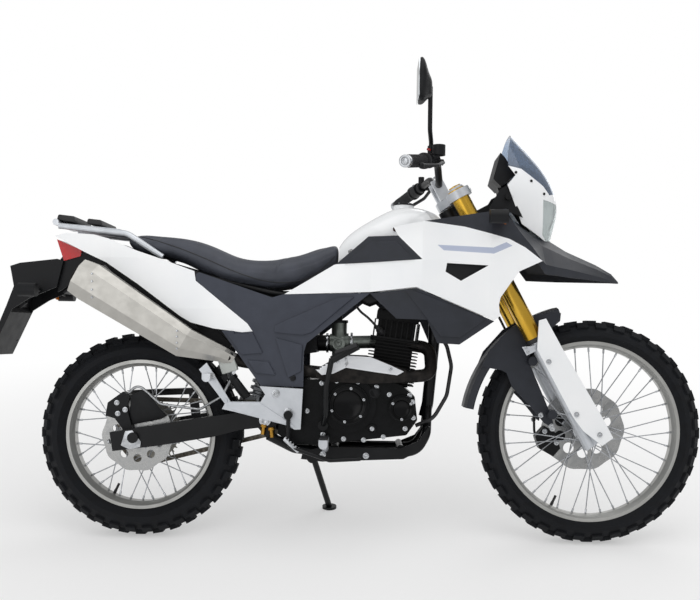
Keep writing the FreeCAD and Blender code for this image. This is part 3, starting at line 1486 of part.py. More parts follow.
def chain_band(offset, y_from, y_to):
    places = chain_run(offset)
    edges = [
        Part.Arc(places[0], places[1], places[2]).toShape(),
        Part.LineSegment(places[2], places[3]).toShape(),
        Part.Arc(places[3], places[4], places[5]).toShape(),
        Part.LineSegment(places[5], places[0]).toShape(),
    ]
    face = Part.Face(Part.Wire(edges))
    face.translate(Vector(0, y_from, 0))
    return face.extrude(Vector(0, y_to - y_from, 0))


def chain():
    """Roller chain as one fixed loop: a row of side plates each side, and rollers along both runs."""
    half_height = chain_plate_height / 2
    parts = []
    for side in (-1, 1):
        y_near = chain_y + side * chain_inner_width / 2
        y_far = y_near + side * chain_plate_wall
        low, high = min(y_near, y_far), max(y_near, y_far)
        parts.append(
            chain_band(half_height, low, high).cut(chain_band(-half_height, low - overrun, high + overrun)),
        )
    places = chain_run(0)
    reach = chain_inner_width / 2 + chain_plate_wall * 1.8
    for start, end in ((places[2], places[3]), (places[5], places[0])):
        along = (end - start).normalize()
        count = int((end - start).Length / chain_pitch)
        for step in range(3, count - 2):
            pin = start + along * (chain_pitch * step)
            parts.append(drum(pin.x, pin.z, roller_radius, chain_y - reach, chain_y + reach))
    return joined(parts)


nodes["chain"] = chain()
nodes["engine_sprocket"] = sprocket(
    output_shaft_x, output_shaft_z, front_sprocket_teeth, chain_y, axle_radius * 1.2,
    chain_inner_width - seat_gap * 2,
)
output_shaft = drum(output_shaft_x, output_shaft_z, axle_radius * 1.2, 0, chain_y + sprocket_wall * 1.5)
notch = drum(
    output_shaft_x, output_shaft_z, sprocket_room, chain_y - sprocket_wall * 3, case_half_width + overrun,
)
nodes["crankcase"] = nodes["crankcase"].cut(notch).fuse(output_shaft)


def chain_guard():
    """Pressed guard over the chain's upper run, carried by the left arm."""
    plate = across(in_field(chain_guard_field, chain_guard_shares), arm_y_in - chain_guard_wall, arm_y_in)
    lip = across(in_field(chain_guard_field, chain_guard_lip_shares), chain_y - sprocket_wall * 3, arm_y_in)
    tab = across(in_field(chain_guard_field, chain_guard_tab_shares), arm_y_in - chain_guard_wall, arm_y_in)
    return joined([plate, lip, tab]).cut(nodes["swingarm"])


nodes["chain_guard"] = chain_guard()


def rear_caliper():
    room = disc_wall / 2 + caliper_room
    middle = rear_disc_y + disc_wall / 2
    window = drum(rear_x, rear_z, rear_disc_radius + caliper_room * 2, middle - room, middle + room)
    body = caliper(
        in_field(rear_caliper_field, rear_caliper_shares), rear_disc_y, caliper_half * 0.8, window,
    )
    bracket = across(in_field(rear_caliper_field, rear_caliper_bracket_shares), -arm_y_in, middle - room)
    return body.fuse(bracket).removeSplitter().cut(nodes["swingarm"])


nodes["rear_caliper"] = rear_caliper()


# Intake
def carburettor():
    """Carburettor body between the head's inlet and its rubber boot."""
    body = rod(carburettor_start, carburettor_end, carburettor_radius)
    inlet = rod(carburettor_end, inlet_end, inlet_radius)
    bowl = rod((bowl_x, 0, bowl_heights[0]), (bowl_x, 0, bowl_heights[1]), bowl_radius)
    slide = rod((bowl_x, 0, slide_heights[0]), (bowl_x, 0, slide_heights[1]), slide_radius)
    return joined([body, inlet, bowl, slide])


nodes["carburettor"] = largest(carburettor().cut(nodes["cylinder"]))
box = across(in_field(airbox_field, airbox_shares), -airbox_half, airbox_half)
boot = rod(boot_start, boot_end, boot_radius)
nodes["airbox"] = box.fuse(boot).cut(nodes["carburettor"]).cut(nodes["main_frame"]).cut(nodes["rear_shock"])
nodes["airbox"] = nodes["airbox"].cut(nodes["crankcase"]).cut(nodes["seat"])


# Tail
def carrier():
    """Silver carrier: one bent tube each side, joined by plates across the back."""
    side_points = [(x, -carrier_y, z) for x, z in in_field(rear_field, carrier_points_share)]
    rail = bent_tube(side_points, carrier_radius, carrier_radius * 6)
    rear_x_middle = carrier_rear_x + carrier_radius * 0.7
    hoop = rod(
        (rear_x_middle, -carrier_y, carrier_rear_z), (rear_x_middle, carrier_y, carrier_rear_z),
        carrier_radius,
    )
    deck = across(in_field(tail_guard_field, carrier_deck_shares), -carrier_y, carrier_y)
    return joined([rail, mirrored(rail), hoop, deck])


nodes["carrier"] = carrier().cut(nodes["tail_fairings"]).cut(nodes["seat"]).cut(nodes["main_frame"])
lamp_body = across(in_field(rear_field, tail_lamp_shares), -tail_lamp_half_width, tail_lamp_half_width)
nodes["tail_lamp"] = lamp_body.cut(nodes["tail_fairings"]).cut(nodes["main_frame"]).cut(nodes["carrier"])


def plate_hole(side):
    """Hole square through the flap for a number plate's screw."""
    rear_low, rear_high = (Vector(x, 0, z) for x, z in in_field(tail_guard_field, flap_edge_shares))
    run = (rear_high - rear_low).normalize()
    square = Vector(run.z, 0, -run.x)
    share = (plate_hole_z - rear_low.z) / (rear_high.z - rear_low.z)
    place = rear_low + (rear_high - rear_low) * share + Vector(0, side * plate_hole_y, 0)
    return Part.makeCylinder(plate_hole_radius, overrun * 2, place - square * overrun, square)


def rear_mudguard():
    """Black tail of the mudguard, from under the seat down to the long number plate holder."""
    upper = across(
        in_field(tail_guard_field, tail_guard_upper_shares), -mudguard_tail_half, mudguard_tail_half,
    )
    flap = across(in_field(tail_guard_field, tail_guard_flap_shares), -plate_half, plate_half)
    solid = joined([upper, flap])
    inner_half, inner_plate_half = mudguard_tail_half - panel_wall, plate_half - panel_wall
    solid = solid.cut(across(in_field(tail_guard_field, upper_pocket_shares), -inner_half, inner_half))
    solid = solid.cut(
        across(in_field(tail_guard_field, flap_pocket_shares), -inner_plate_half, inner_plate_half),
    )
    for side in (-1, 1):
        solid = solid.cut(plate_hole(side))
    return solid


nodes["rear_mudguard"] = rear_mudguard()
for name in ("tail_lamp", "tail_fairings", "main_frame", "carrier", "seat", "silencer"):
    nodes["rear_mudguard"] = nodes["rear_mudguard"].cut(nodes[name])


def inner_mudguard():
    """Channel over the rear tyre, between the seat rails."""
    half, wall = inner_guard_half, panel_wall
    top = across(in_field(inner_guard_field, inner_guard_shares), -half, half)
    sides = across(in_field(inner_guard_field, inner_guard_side_shares), -half, half).cut(
        across(in_field(inner_guard_field, inner_guard_side_shares), wall - half, half - wall),
    )
    return joined([top, sides])


nodes["inner_mudguard"] = inner_mudguard()
for name in (
    "rear_mudguard", "main_frame", "seat", "silencer", "exhaust_header", "rear_shock", "airbox",
    "tail_fairings",
):
    nodes["inner_mudguard"] = nodes["inner_mudguard"].cut(nodes[name])
nodes["inner_mudguard"] = largest(nodes["inner_mudguard"])


def indicator(foot, head):
    """Indicator lamp on its short stalk."""
    stalk = rod(foot, head, indicator_radius * 0.35)
    back = (head[0] - indicator_length / 2, head[1], head[2])
    front = (head[0] + indicator_length / 2, head[1], head[2])
    return stalk.fuse(rod(back, front, indicator_radius))


rear_lamp = indicator(rear_indicator_foot, rear_indicator_head).cut(nodes["rear_mudguard"])
front_lamp = indicator(front_indicator_foot, front_indicator_head)
front_lamp = front_lamp.cut(nodes["nose_panels"]).cut(nodes["tank_shrouds"])
lamps = [largest(rear_lamp), largest(front_lamp)]
nodes["indicators"] = Part.makeCompound(lamps + [mirrored(lamp) for lamp in lamps])


# Nose
def nose_form(trim):
    """The nose as one form: plan sections stacked upwards, each rounded in front and open at the back."""
    sections = []
    for z, front, half_width in nose_stations:
        points = []
        for step in range(13):
            angle = math.pi * (step / 12 - 0.5)
            c, s = math.cos(angle), math.sin(angle)
            x = nose_back_x + (front - nose_back_x - trim) * c ** (2 / nose_squareness)
            y = (half_width - trim) * math.copysign(abs(s) ** (2 / nose_squareness), s)
            points.append(Vector(x, y, z))
        curve = Part.BSplineCurve()
        curve.interpolate(points)
        back = nose_back_x - overrun * 2 - trim
        corners = [points[-1], Vector(back, points[-1].y, z), Vector(back, points[0].y, z), points[0]]
        sections.append(Part.Wire([curve.toShape()] + Part.makePolygon(corners).Edges))
    return Part.makeLoft(sections, True, False)


def trimmed(form, shares):
    """The stretch of a form inside a side outline."""
    return form.common(across(in_field(nose_field, shares), -bodywork_half_width, bodywork_half_width))


nose_solid = nose_form(0)
nose_wall = nose_solid.cut(nose_form(panel_wall))
nodes["headlamp_cowl"] = trimmed(nose_wall, cowl_shares)
nodes["windscreen"] = trimmed(nose_wall, screen_shares)
nodes["headlamp_lens"] = largest(trimmed(nose_solid, lamp_shares))
dash = across(in_field(nose_field, dash_shares), -dash_half_width, dash_half_width)
dash_foot = across(in_field(nose_field, dash_foot_shares), -dash_half_width * 0.4, dash_half_width * 0.4)
plate = across(in_field(nose_field, nose_plate_shares), -nose_plate_y, panel_wall - nose_plate_y)
dash = Part.makeCompound([dash.fuse(dash_foot), plate, mirrored(plate)])
nodes["dashboard"] = dash.cut(nodes["headlamp_cowl"]).cut(nodes["windscreen"]).cut(nodes["main_frame"])


def beak():
    """Pointed beak: an open shell whose roof slopes from the cowl to its tip."""
    outer, inner = [], []
    for x, half, low, crease, high in in_space(beak_space, beak_shares):
        for sections, trim in ((outer, 0), (inner, panel_wall)):
            width, foot, shoulder, top = max(
                half - trim, trim / 2,
            ), low - trim * 2, crease - trim / 2, high - trim
            side = [
                (width * 0.97, foot), (width, shoulder), (width * 0.62, shoulder + (top - shoulder) * 0.6),
                (width * 0.2, top),
            ]
            points = [Vector(x, -y, z) for y, z in side] + [Vector(x, y, z) for y, z in reversed(side)]
            sections.append(Part.makePolygon(points + points[:1]))
    return Part.makeLoft(outer, True, True).cut(Part.makeLoft(inner, True, True))


steering_room = raked(
    Part.makeCylinder(steering_room_radius, fork_top - fork_tube_low, Vector(0, 0, fork_tube_low)),
)
nodes["beak"] = beak().cut(steering_room)
for name in ("headlamp_cowl", "headlamp_lens", "nose_panels", "tank_shrouds"):
    nodes["beak"] = nodes["beak"].cut(nodes[name])
nodes["beak"] = largest(nodes["beak"])
for name in ("beak", "headlamp_cowl", "headlamp_lens"):
    nodes["main_frame"] = nodes["main_frame"].cut(nodes[name])
nodes["main_frame"] = largest(nodes["main_frame"])

# Foot controls and plates
hanger = across(in_field(hanger_field, hanger_shares), hanger_y - hanger_wall, hanger_y)
spacers = [
    drum(x, z, hanger_spacer_radius, plate_in, hanger_y - hanger_wall)
    for x, z in in_field(hanger_field, hanger_bolt_shares)
]
hanger = joined([hanger] + spacers).cut(nodes["main_frame"]).cut(nodes["swingarm"])
nodes["footpeg_hangers"] = both_sides(hanger)
for name in ("side_panels", "exhaust_header", "silencer", "crankcase"):
    nodes["footpeg_hangers"] = nodes["footpeg_hangers"].cut(nodes[name])


def skid_plate():
    """Folded plate under the cradle, turned up at the front and along both edges."""
    outer = across(in_field(skid_field, skid_shares), -skid_half, skid_half)
    pocket = across(in_field(skid_field, skid_pocket_shares), skid_wall - skid_half, skid_half - skid_wall)
    return outer.cut(pocket)


nodes["skid_plate"] = skid_plate().cut(nodes["main_frame"]).cut(nodes["crankcase"])


def peg(x, z, inner, outer, radius):
    """Rubber-topped footpeg on its clevis."""
    bar = drum(x, z, radius, inner, outer)
    top = across(
        [(x - radius, z), (x + radius, z), (x + radius, z + radius), (x - radius, z + radius)],
        inner + radius * 2, outer,
    )
    return bar.fuse(top)


rider = peg(rider_peg_x, rider_peg_z, rider_peg_in, rider_peg_out, rider_peg_radius)
peg_arm = bent_tube(in_space(control_space, peg_arm_shares), rider_peg_arm_radius, rider_peg_arm_radius * 4)
rider = rider.fuse(peg_arm)
rider = rider.cut(nodes["main_frame"]).cut(nodes["skid_plate"]).cut(nodes["crankcase"])
passenger = peg(
    passenger_peg_x, passenger_peg_z, hanger_y, hanger_y + passenger_peg_length, passenger_peg_radius,
)
nodes["footpegs"] = Part.makeCompound([rider, mirrored(rider), passenger, mirrored(passenger)])


def hub(place, radius, y_from, y_to):
    """Round boss across the bike at a lever's pivot."""
    return drum(place[0], place[2], radius, y_from, y_to)


pedal_route = in_space(control_space, brake_pedal_shares)
pedal = bent_tube(pedal_route, lever_radius, lever_radius * 4)
pedal_hub = hub(pedal_route[0], lever_hub_radius, -hanger_y - lever_hub_length, -hanger_y)
brake_pedal = joined([pedal, pedal_hub]).cut(nodes["footpeg_hangers"]).cut(nodes["footpegs"])
kick_route = in_space(control_space, kick_shares)
kick = bent_tube(kick_route, kick_radius, kick_radius * 4)
kick_hub = hub(kick_route[0], kick_hub_radius, -case_half_width - lever_hub_length * 1.3, -case_half_width)
kick_pedal = rod(*in_space(control_space, kick_pedal_shares), kick_radius * 1.4)
kick_lever = joined([kick, kick_hub, kick_pedal]).cut(nodes["crankcase"])
gear_route = in_space(control_space, gear_lever_shares)
gear = bent_tube(gear_route, lever_radius, lever_radius * 5)
gear_hub = hub(gear_route[0], lever_hub_radius, case_half_width, case_half_width + lever_hub_length)
toe_from = gear_route[-1][1] - lever_radius * 2
gear_toe = hub(gear_route[-1], lever_radius * 1.5, toe_from, toe_from + gear_lever_toe)
gear_lever = joined([gear, gear_hub, gear_toe]).cut(nodes["crankcase"])
nodes["foot_controls"] = Part.makeCompound([largest(brake_pedal), largest(kick_lever), largest(gear_lever)])

# Hoses
oil_hose = bent_tube(oil_hose_points, oil_hose_radius, oil_hose_radius * 10)
nodes["oil_hoses"] = oil_hose.cut(nodes["crankcase"]).cut(nodes["main_frame"]).cut(nodes["cylinder"])
front_hose = bent_tube(
    [steering_point(*place) for place in front_brake_hose_places], brake_hose_radius, brake_hose_bend,
)
rear_hose = bent_tube(rear_brake_hose_points, brake_hose_radius, brake_hose_bend)
for name in ("hand_controls", "handlebar", "front_caliper", "yokes", "fork_tubes"):
    front_hose = front_hose.cut(nodes[name])
for name in ("rear_caliper", "footpeg_hangers", "main_frame"):
    rear_hose = rear_hose.cut(nodes[name])
nodes["front_brake_hose"] = largest(front_hose)
nodes["rear_brake_hose"] = largest(rear_hose)


# Side stand
def ground_height(y):
    """Height of the ground plane in the upright bike at a place y to its left, once it leans."""
    return (y - centre_lug_width / 2) * math.tan(math.radians(lean))


def side_stand():
    """Stand leg from its pivot eye to a round foot that lies flat on the ground."""
    tilt = math.radians(lean)
    foot_z = ground_height(stand_foot_y)
    upright = Vector(0, -math.sin(tilt), math.cos(tilt))
    foot = Part.makeCylinder(
        stand_foot_radius, stand_foot_height, Vector(stand_foot_x, stand_foot_y, foot_z), upright,
    )
    top = (stand_pivot_x, stand_pivot_y, stand_pivot_z)
    ankle = Vector(stand_foot_x, stand_foot_y, foot_z) + upright * (stand_foot_height * 0.5)
    leg = rod(top, tuple(ankle), stand_leg_radius)
    eye = stand_eye(stand_eye_wall, stand_eye_radius)
    solid = joined([leg, foot, eye])
    reach = stand_foot_radius * 4
    below = Part.makeBox(reach * 2, reach * 2, reach, Vector(stand_foot_x - reach, -reach, -reach))
    below.rotate(Vector(0, 0, 0), Vector(1, 0, 0), lean)
    below.translate(Vector(0, stand_foot_y, foot_z))
    return solid.cut(below).cut(stand_eye(stand_eye_wall * 4, stand_pin_radius + axle_fit))


def stand_axis():
    tilt = math.radians(stand_axis_tilt)
    return Vector(0, math.cos(tilt), math.sin(tilt))


def stand_eye(length, radius):
    middle = Vector(stand_pivot_x, stand_pivot_y, stand_pivot_z)
    return Part.makeCylinder(radius, length, middle - stand_axis() * (length / 2), stand_axis())


nodes["side_stand"] = side_stand()


def stand_bracket():
    """Plate from the cradle rail out to the stand's pin, with an ear each side of the stand's eye."""
    pin = stand_eye(stand_eye_wall + stand_ear_wall, stand_pin_radius)
    middle = Vector(stand_pivot_x, stand_pivot_y, stand_pivot_z)
    start = middle - stand_axis() * (stand_eye_wall / 2 + axle_fit)
    ear_in = Part.makeCylinder(stand_eye_radius, stand_ear_wall, start, stand_axis() * -1)
    reach = rod(
        (stand_pivot_x, cradle_y, cradle_z), tuple(start - stand_axis() * stand_ear_wall),
        stand_leg_radius * 0.9,
    )
    return joined([pin, ear_in, reach])


bracket = stand_bracket()
nodes["skid_plate"] = nodes["skid_plate"].cut(bracket)
nodes["main_frame"] = nodes["main_frame"].fuse(bracket).fuse(pivot_bolt)

dark_names = ("knee_panels", "lower_panels", "nose_panels")
dark_solids = [solid for name in dark_names for solid in nodes.pop(name).Solids]
nodes["dark_panels"] = Part.makeCompound(dark_solids)

# Set the bike down on its stand, with the origin under the middle of its box.
leaned = {}
for name, shape in nodes.items():
    shape = Part.makeCompound([solid.copy() for solid in shape.Solids])
    shape.rotate(Vector(0, 0, 0), Vector(1, 0, 0), -lean)
    leaned[name] = shape
whole = Part.makeCompound(list(leaned.values())).BoundBox
contact = centre_lug_width / 2 * math.sin(math.radians(lean))
middle_x = (whole.XMin + whole.XMax) / 2
middle_y = (whole.YMin + whole.YMax) / 2
os.makedirs("parts", exist_ok=True)
for name, shape in leaned.items():
    shape.translate(Vector(-middle_x, -middle_y, contact))
    shape.exportStep("parts/" + name + ".step")
print("origin in the upright bike:", middle_x, middle_y, contact)
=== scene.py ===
import math
import bpy
from mathutils import Matrix, Vector


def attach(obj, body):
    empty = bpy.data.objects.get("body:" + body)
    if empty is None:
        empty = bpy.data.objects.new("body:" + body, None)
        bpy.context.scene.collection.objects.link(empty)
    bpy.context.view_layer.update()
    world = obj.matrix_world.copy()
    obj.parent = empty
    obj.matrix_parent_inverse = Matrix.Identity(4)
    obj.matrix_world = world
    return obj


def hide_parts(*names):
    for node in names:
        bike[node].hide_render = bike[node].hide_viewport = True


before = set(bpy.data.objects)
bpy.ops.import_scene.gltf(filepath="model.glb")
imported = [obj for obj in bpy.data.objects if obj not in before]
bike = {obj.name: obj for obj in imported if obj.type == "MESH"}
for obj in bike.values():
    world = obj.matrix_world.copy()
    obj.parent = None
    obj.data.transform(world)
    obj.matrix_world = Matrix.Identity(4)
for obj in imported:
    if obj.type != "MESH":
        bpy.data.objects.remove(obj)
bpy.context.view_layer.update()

# Studio. A pale seamless paper floor under soft lamps, with the camera square to the right flank
# and level with the cylinder. The bike leans ten degrees on its stand, and the camera with it.
lean = math.radians(10)
parked_origin = (-0.6355, -0.191341, 0.003126)
parked = Matrix.Translation(parked_origin) @ Matrix.Rotation(-lean, 4, "X")


def leaned(x, y, z):
    """A place on the upright bike, in millimetres, where it is once the bike leans on its stand."""
    return parked @ Vector((x / 1000, y / 1000, z / 1000))


def linear(hex_colour):
    """An sRGB colour such as #c8ccd0 as the linear values that a shader takes."""
    values = [int(hex_colour[i:i + 2], 16) / 255 for i in (1, 3, 5)]
    return tuple(v / 12.92 if v <= 0.04045 else ((v + 0.055) / 1.055) ** 2.4 for v in values) + (1,)


def add_node(tree, kind, settings=None, inputs=None, links=None):
    """One shader node with its settings, its input values and the links into it."""
    added = tree.nodes.new(kind)
    for key, value in (settings or {}).items():
        setattr(added, key, value)
    for key, value in (inputs or {}).items():
        added.inputs[key].default_value = value
    for key, (source, output) in (links or {}).items():
        tree.links.new(source.outputs[output], added.inputs[key])
    return added


camera_data = bpy.data.cameras.new("photographer")
camera = bpy.data.objects.new("photographer", camera_data)
bpy.context.scene.collection.objects.link(camera)
bpy.context.scene.camera = camera
camera_roll = math.radians(1.02)
film_width = 36
photo_width, focal_pixels, right_pixels, up_pixels = 700, 895, -17, 39
camera.location = leaned(693, -2800, 618.5)
camera.rotation_euler = (math.radians(90) - lean, 0, 0)
camera.rotation_euler.rotate_axis("Z", camera_roll)
camera_data.sensor_width = film_width
camera_data.lens = film_width * focal_pixels / photo_width
camera_data.shift_x = right_pixels / photo_width
camera_data.shift_y = up_pixels / photo_width

bpy.ops.object.select_all(action="DESELECT")
floor_size = 60
bpy.ops.mesh.primitive_plane_add(size=floor_size, location=(0, 0, 0))
floor = bpy.context.object
floor.name = "studio_floor"
# Matt paper keeps the bike's soft shadow. Between these distances in metres it fades to plain
# white, so that no horizon shows.
fade_from, fade_to, least_white = 0.9, 3.2, 0.4
paper = bpy.data.materials.new("seamless_paper")
paper.use_nodes = True
paper_shader = paper.node_tree.nodes["Principled BSDF"]
paper_shader.inputs["Base Color"].default_value = linear("#f2f2f2")
paper_shader.inputs["Roughness"].default_value = 0.95
paper_shader.inputs["Specular IOR Level"].default_value = 0.1
tree = paper.node_tree
spot = add_node(tree, "ShaderNodeTexCoord")
distance = add_node(tree, "ShaderNodeVectorMath", {"operation": "LENGTH"}, links={0: (spot, "Object")})
away = add_node(
    tree, "ShaderNodeMapRange", {"interpolation_type": "SMOOTHSTEP"},
    {"From Min": fade_from, "From Max": fade_to, "To Min": least_white}, {"Value": (distance, "Value")},
)
lit = add_node(tree, "ShaderNodeEmission", inputs={"Color": linear("#ffffff"), "Strength": 1.0})
blend = add_node(
    tree, "ShaderNodeMixShader",
    links={0: (away, "Result"), 1: (paper_shader, "BSDF"), 2: (lit, "Emission")},
)
tree.links.new(blend.outputs["Shader"], tree.nodes["Material Output"].inputs["Surface"])
floor.data.materials.append(paper)

# The world is white to the camera and through glass, and lights the bike at a lower level.
background_level, light_level = 1.0, 0.56
studio = bpy.data.worlds.new("studio")
bpy.context.scene.world = studio
studio.use_nodes = True
sky = studio.node_tree.nodes["Background"]
sky.inputs["Color"].default_value = linear("#ffffff")
path = add_node(studio.node_tree, "ShaderNodeLightPath")
seen = add_node(
    studio.node_tree, "ShaderNodeMath", {"operation": "MAXIMUM"},
    links={0: (path, "Is Camera Ray"), 1: (path, "Is Transmission Ray")},
)
strength = add_node(
    studio.node_tree, "ShaderNodeMapRange",
    inputs={"To Min": light_level, "To Max": background_level}, links={"Value": (seen, 0)},
)
studio.node_tree.links.new(strength.outputs["Result"], sky.inputs["Strength"])
lamp_target = Vector((0, 0, 0.5))
for name, place, size, power in (
    ("overhead_softbox", (0.2, -1.0, 3.6), 3.4, 46),
    ("camera_side_softbox", (-1.9, -3.6, 1.9), 2.4, 20),
    ("rear_softbox", (1.8, 2.8, 2.4), 2.6, 30),
):
    lamp_data = bpy.data.lights.new(name, "AREA")
    lamp_data.size = size
    lamp_data.energy = power
    lamp = bpy.data.objects.new(name, lamp_data)
    lamp.location = place
    lamp.rotation_euler = (lamp_target - Vector(place)).to_track_quat("-Z", "Y").to_euler()
    bpy.context.scene.collection.objects.link(lamp)
bpy.context.scene.view_settings.view_transform = "Standard"

# Main frame and swingarm. Welded steel tube and box section, sandblasted and powder coated
# satin black, so that the coat has a faint orange peel. The axle slides in bright adjusters.
flanks = (-1, 1)


def finish(
    name, colour, second, roughness, spread=0.06, metallic=0, patch=40, tooth=0, height=0,
    stretch=(1, 1, 1), shine=0.5,
):
    """A surface whose shade and gloss change slowly from patch to patch, under a fine grain.

    The patch, the grain's tooth and its height are in millimetres. Most teeth are finer than a pixel
    of the main view and show only close up.
    """
    material = bpy.data.materials.new(name)
    material.use_nodes = True
    tree = material.node_tree
    shader = tree.nodes["Principled BSDF"]
    shader.inputs["Metallic"].default_value = metallic
    shader.inputs["Specular IOR Level"].default_value = shine
    place = add_node(tree, "ShaderNodeTexCoord")
    turned = add_node(
        tree, "ShaderNodeMapping", inputs={"Scale": stretch}, links={"Vector": (place, "Object")},
    )
    patches = add_node(
        tree, "ShaderNodeTexNoise", inputs={"Scale": 1000 / patch, "Detail": 5},
        links={"Vector": (turned, "Vector")},
    )
    shades = add_node(tree, "ShaderNodeValToRGB", links={"Fac": (patches, "Fac")})
    for stop, position, shade in zip(shades.color_ramp.elements, (0.32, 0.68), (colour, second)):
        stop.position = position
        stop.color = linear(shade)
    gloss = add_node(
        tree, "ShaderNodeMapRange",
        inputs={"From Min": 0.3, "From Max": 0.7, "To Min": roughness - spread, "To Max": roughness + spread},
        links={"Value": (patches, "Fac")},
    )
    tree.links.new(shades.outputs["Color"], shader.inputs["Base Color"])
    tree.links.new(gloss.outputs["Result"], shader.inputs["Roughness"])
    if tooth:
        grain = add_node(
            tree, "ShaderNodeTexNoise", inputs={"Scale": 1000 / tooth, "Detail": 2},
            links={"Vector": (turned, "Vector")},
        )
        relief = add_node(
            tree, "ShaderNodeBump", inputs={"Strength": 1, "Distance": height / 1000},
            links={"Height": (grain, "Fac")},
        )
        tree.links.new(relief.outputs["Normal"], shader.inputs["Normal"])
    return material


def paint(material, *names):
    """Gives CAD pieces their finish."""
    for name in names:
        for slot in bike[name].material_slots:
            slot.material = material


def start():
    """Nothing stays selected from the piece before."""
    if bpy.context.object and bpy.context.object.mode != "OBJECT":
        bpy.ops.object.mode_set(mode="OBJECT")
    bpy.ops.object.select_all(action="DESELECT")


def ease(piece, width, angle=32):
    """Breaks the sharp edges of a piece by a width in millimetres, as a mould or a file does."""
    start()
    piece.select_set(True)
    bpy.context.view_layer.objects.active = piece
    bevel = piece.modifiers.new("eased_edges", "BEVEL")
    bevel.width = width / 1000
    bevel.segments = 2
    bevel.limit_method = "ANGLE"
    bevel.angle_limit = math.radians(angle)
    bpy.ops.object.modifier_apply(modifier=bevel.name)
    bpy.ops.object.shade_smooth_by_angle(angle=math.radians(angle))


def fasten(piece, name, body, material):
    """Leans a piece made on the upright bike as the bike leans, and fixes it to a body with its finish."""
    start()
    piece.select_set(True)
    bpy.context.view_layer.objects.active = piece
    piece.name = piece.data.name = name
    piece.matrix_world = parked @ piece.matrix_world
    bpy.ops.object.transform_apply(location=True, rotation=True, scale=True)
    piece.data.materials.clear()
    piece.data.materials.append(material)
    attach(piece, body)
    return piece


def plate(outline, y_from, y_to, edge=0.8):
    """A flat piece cut to an outline of (x, z) places and as thick as from y_from to y_to."""
    start()
    bpy.ops.mesh.primitive_circle_add(vertices=len(outline), fill_type="NGON", radius=0.01)
    piece = bpy.context.object
    for vertex, (x, z) in zip(piece.data.vertices, outline):
        vertex.co = (x / 1000, y_from / 1000, z / 1000)
    bpy.ops.object.mode_set(mode="EDIT")
    bpy.ops.mesh.select_all(action="SELECT")
    bpy.ops.mesh.extrude_region_move(TRANSFORM_OT_translate={"value": (0, (y_to - y_from) / 1000, 0)})
    bpy.ops.mesh.select_all(action="SELECT")
    bpy.ops.mesh.normals_make_consistent(inside=False)
    bpy.ops.object.mode_set(mode="OBJECT")
    ease(piece, edge)
    return piece


def discard(*patterns):
    """Removes patterns once their copies are placed."""
    for pattern in patterns:
        bpy.data.objects.remove(pattern)


def gathered(pieces):
    """Several meshes as one piece."""
    start()
    for piece in pieces:
        piece.select_set(True)
    bpy.context.view_layer.objects.active = pieces[0]
    if len(pieces) > 1:
        bpy.ops.object.join()
    return bpy.context.object


def pick(piece, test):
    """In edit mode, selects the faces whose centre and normal pass a test."""
    bpy.context.view_layer.objects.active = piece
    bpy.ops.object.mode_set(mode="EDIT")
    bpy.ops.mesh.select_mode(type="FACE")
    bpy.ops.mesh.select_all(action="DESELECT")
    bpy.ops.object.mode_set(mode="OBJECT")
    for face in piece.data.polygons:
        face.select = test(face.center, face.normal)
    bpy.ops.object.mode_set(mode="EDIT")


def knob(radius, height, dish=0.0, sides=32, rim=0.78, edge=0.6):
    """A round or many-sided cap that stands on its foot, with a face dished or raised inside its rim."""
    start()
    bpy.ops.mesh.primitive_cylinder_add(
        vertices=sides, radius=radius / 1000, depth=height / 1000, location=(0, 0, height / 2000),
    )
    cap = bpy.context.object
    bpy.ops.object.transform_apply(location=True, rotation=False, scale=False)
    if dish:
        pick(cap, lambda centre, normal: normal.z > 0.9)
        bpy.ops.mesh.inset(thickness=radius * (1 - rim) / 1000)
        bpy.ops.mesh.extrude_region_move(TRANSFORM_OT_translate={"value": (0, 0, -dish / 1000)})
        bpy.ops.object.mode_set(mode="OBJECT")
    ease(cap, edge)
    return cap


def placed(pattern, places):
    """Copies of a pattern, each with its foot on a place and its top towards a way, as one piece."""
    copies = []
    for place, way in places:
        copy = bpy.data.objects.new(pattern.name, pattern.data.copy())
        bpy.context.scene.collection.objects.link(copy)
        turn = Vector(way).to_track_quat("Z", "Y").to_matrix().to_4x4()
        copy.matrix_world = Matrix.Translation(Vector(place) / 1000) @ turn
        copies.append(copy)
    start()
    for copy in copies:
        copy.select_set(True)
    bpy.context.view_layer.objects.active = copies[0]
    bpy.ops.object.transform_apply(location=True, rotation=True, scale=True)
    return gathered(copies)


def hex_bolt(radius):
    """A flanged hexagon bolt head."""
    head = knob(radius, radius * 1.1, radius * 0.15, 6, 0.7, radius * 0.1)
    washer = knob(radius * 1.35, radius * 0.3, 0, 24, edge=radius * 0.08)
    return gathered([head, washer])


# The coat flows over welds and grit, so it looks even, with soft highlights.
black_coat = finish("satin_black_powder_coat", "#0b0c0e", "#111214", 0.34, 0.05, 0, 55, 1.6, 0.05, shine=0.24)
# Zinc is bright, with small clouds in its shine.
bright_zinc = finish("bright_zinc_plate", "#c3c5c8", "#aeb1b5", 0.26, 0.07, 1, 9, 0.6, 0.01)
paint(black_coat, "main_frame", "swingarm")
adjuster_outline = ((-36, 288), (-24, 331), (-2, 334), (24, 300), (22, 284), (-10, 276))
adjusters = gathered([plate(adjuster_outline, side * 125.3, side * 130, 1.0) for side in flanks])
fasten(adjusters, "axle_adjusters", "frame", bright_zinc)
nut_pattern = hex_bolt(6)
adjuster_bolts = placed(nut_pattern, [((-74, side * 110, 297), (-1, 0, -0.25)) for side in flanks])
fasten(adjuster_bolts, "adjuster_bolts", "frame", bright_zinc)
pivot_nut = hex_bolt(13)
pivot_nuts = placed(pivot_nut, [((395, side * 146, 372), (0, side, 0)) for side in flanks])
fasten(pivot_nuts, "pivot_nuts", "frame", bright_zinc)
discard(nut_pattern, pivot_nut)

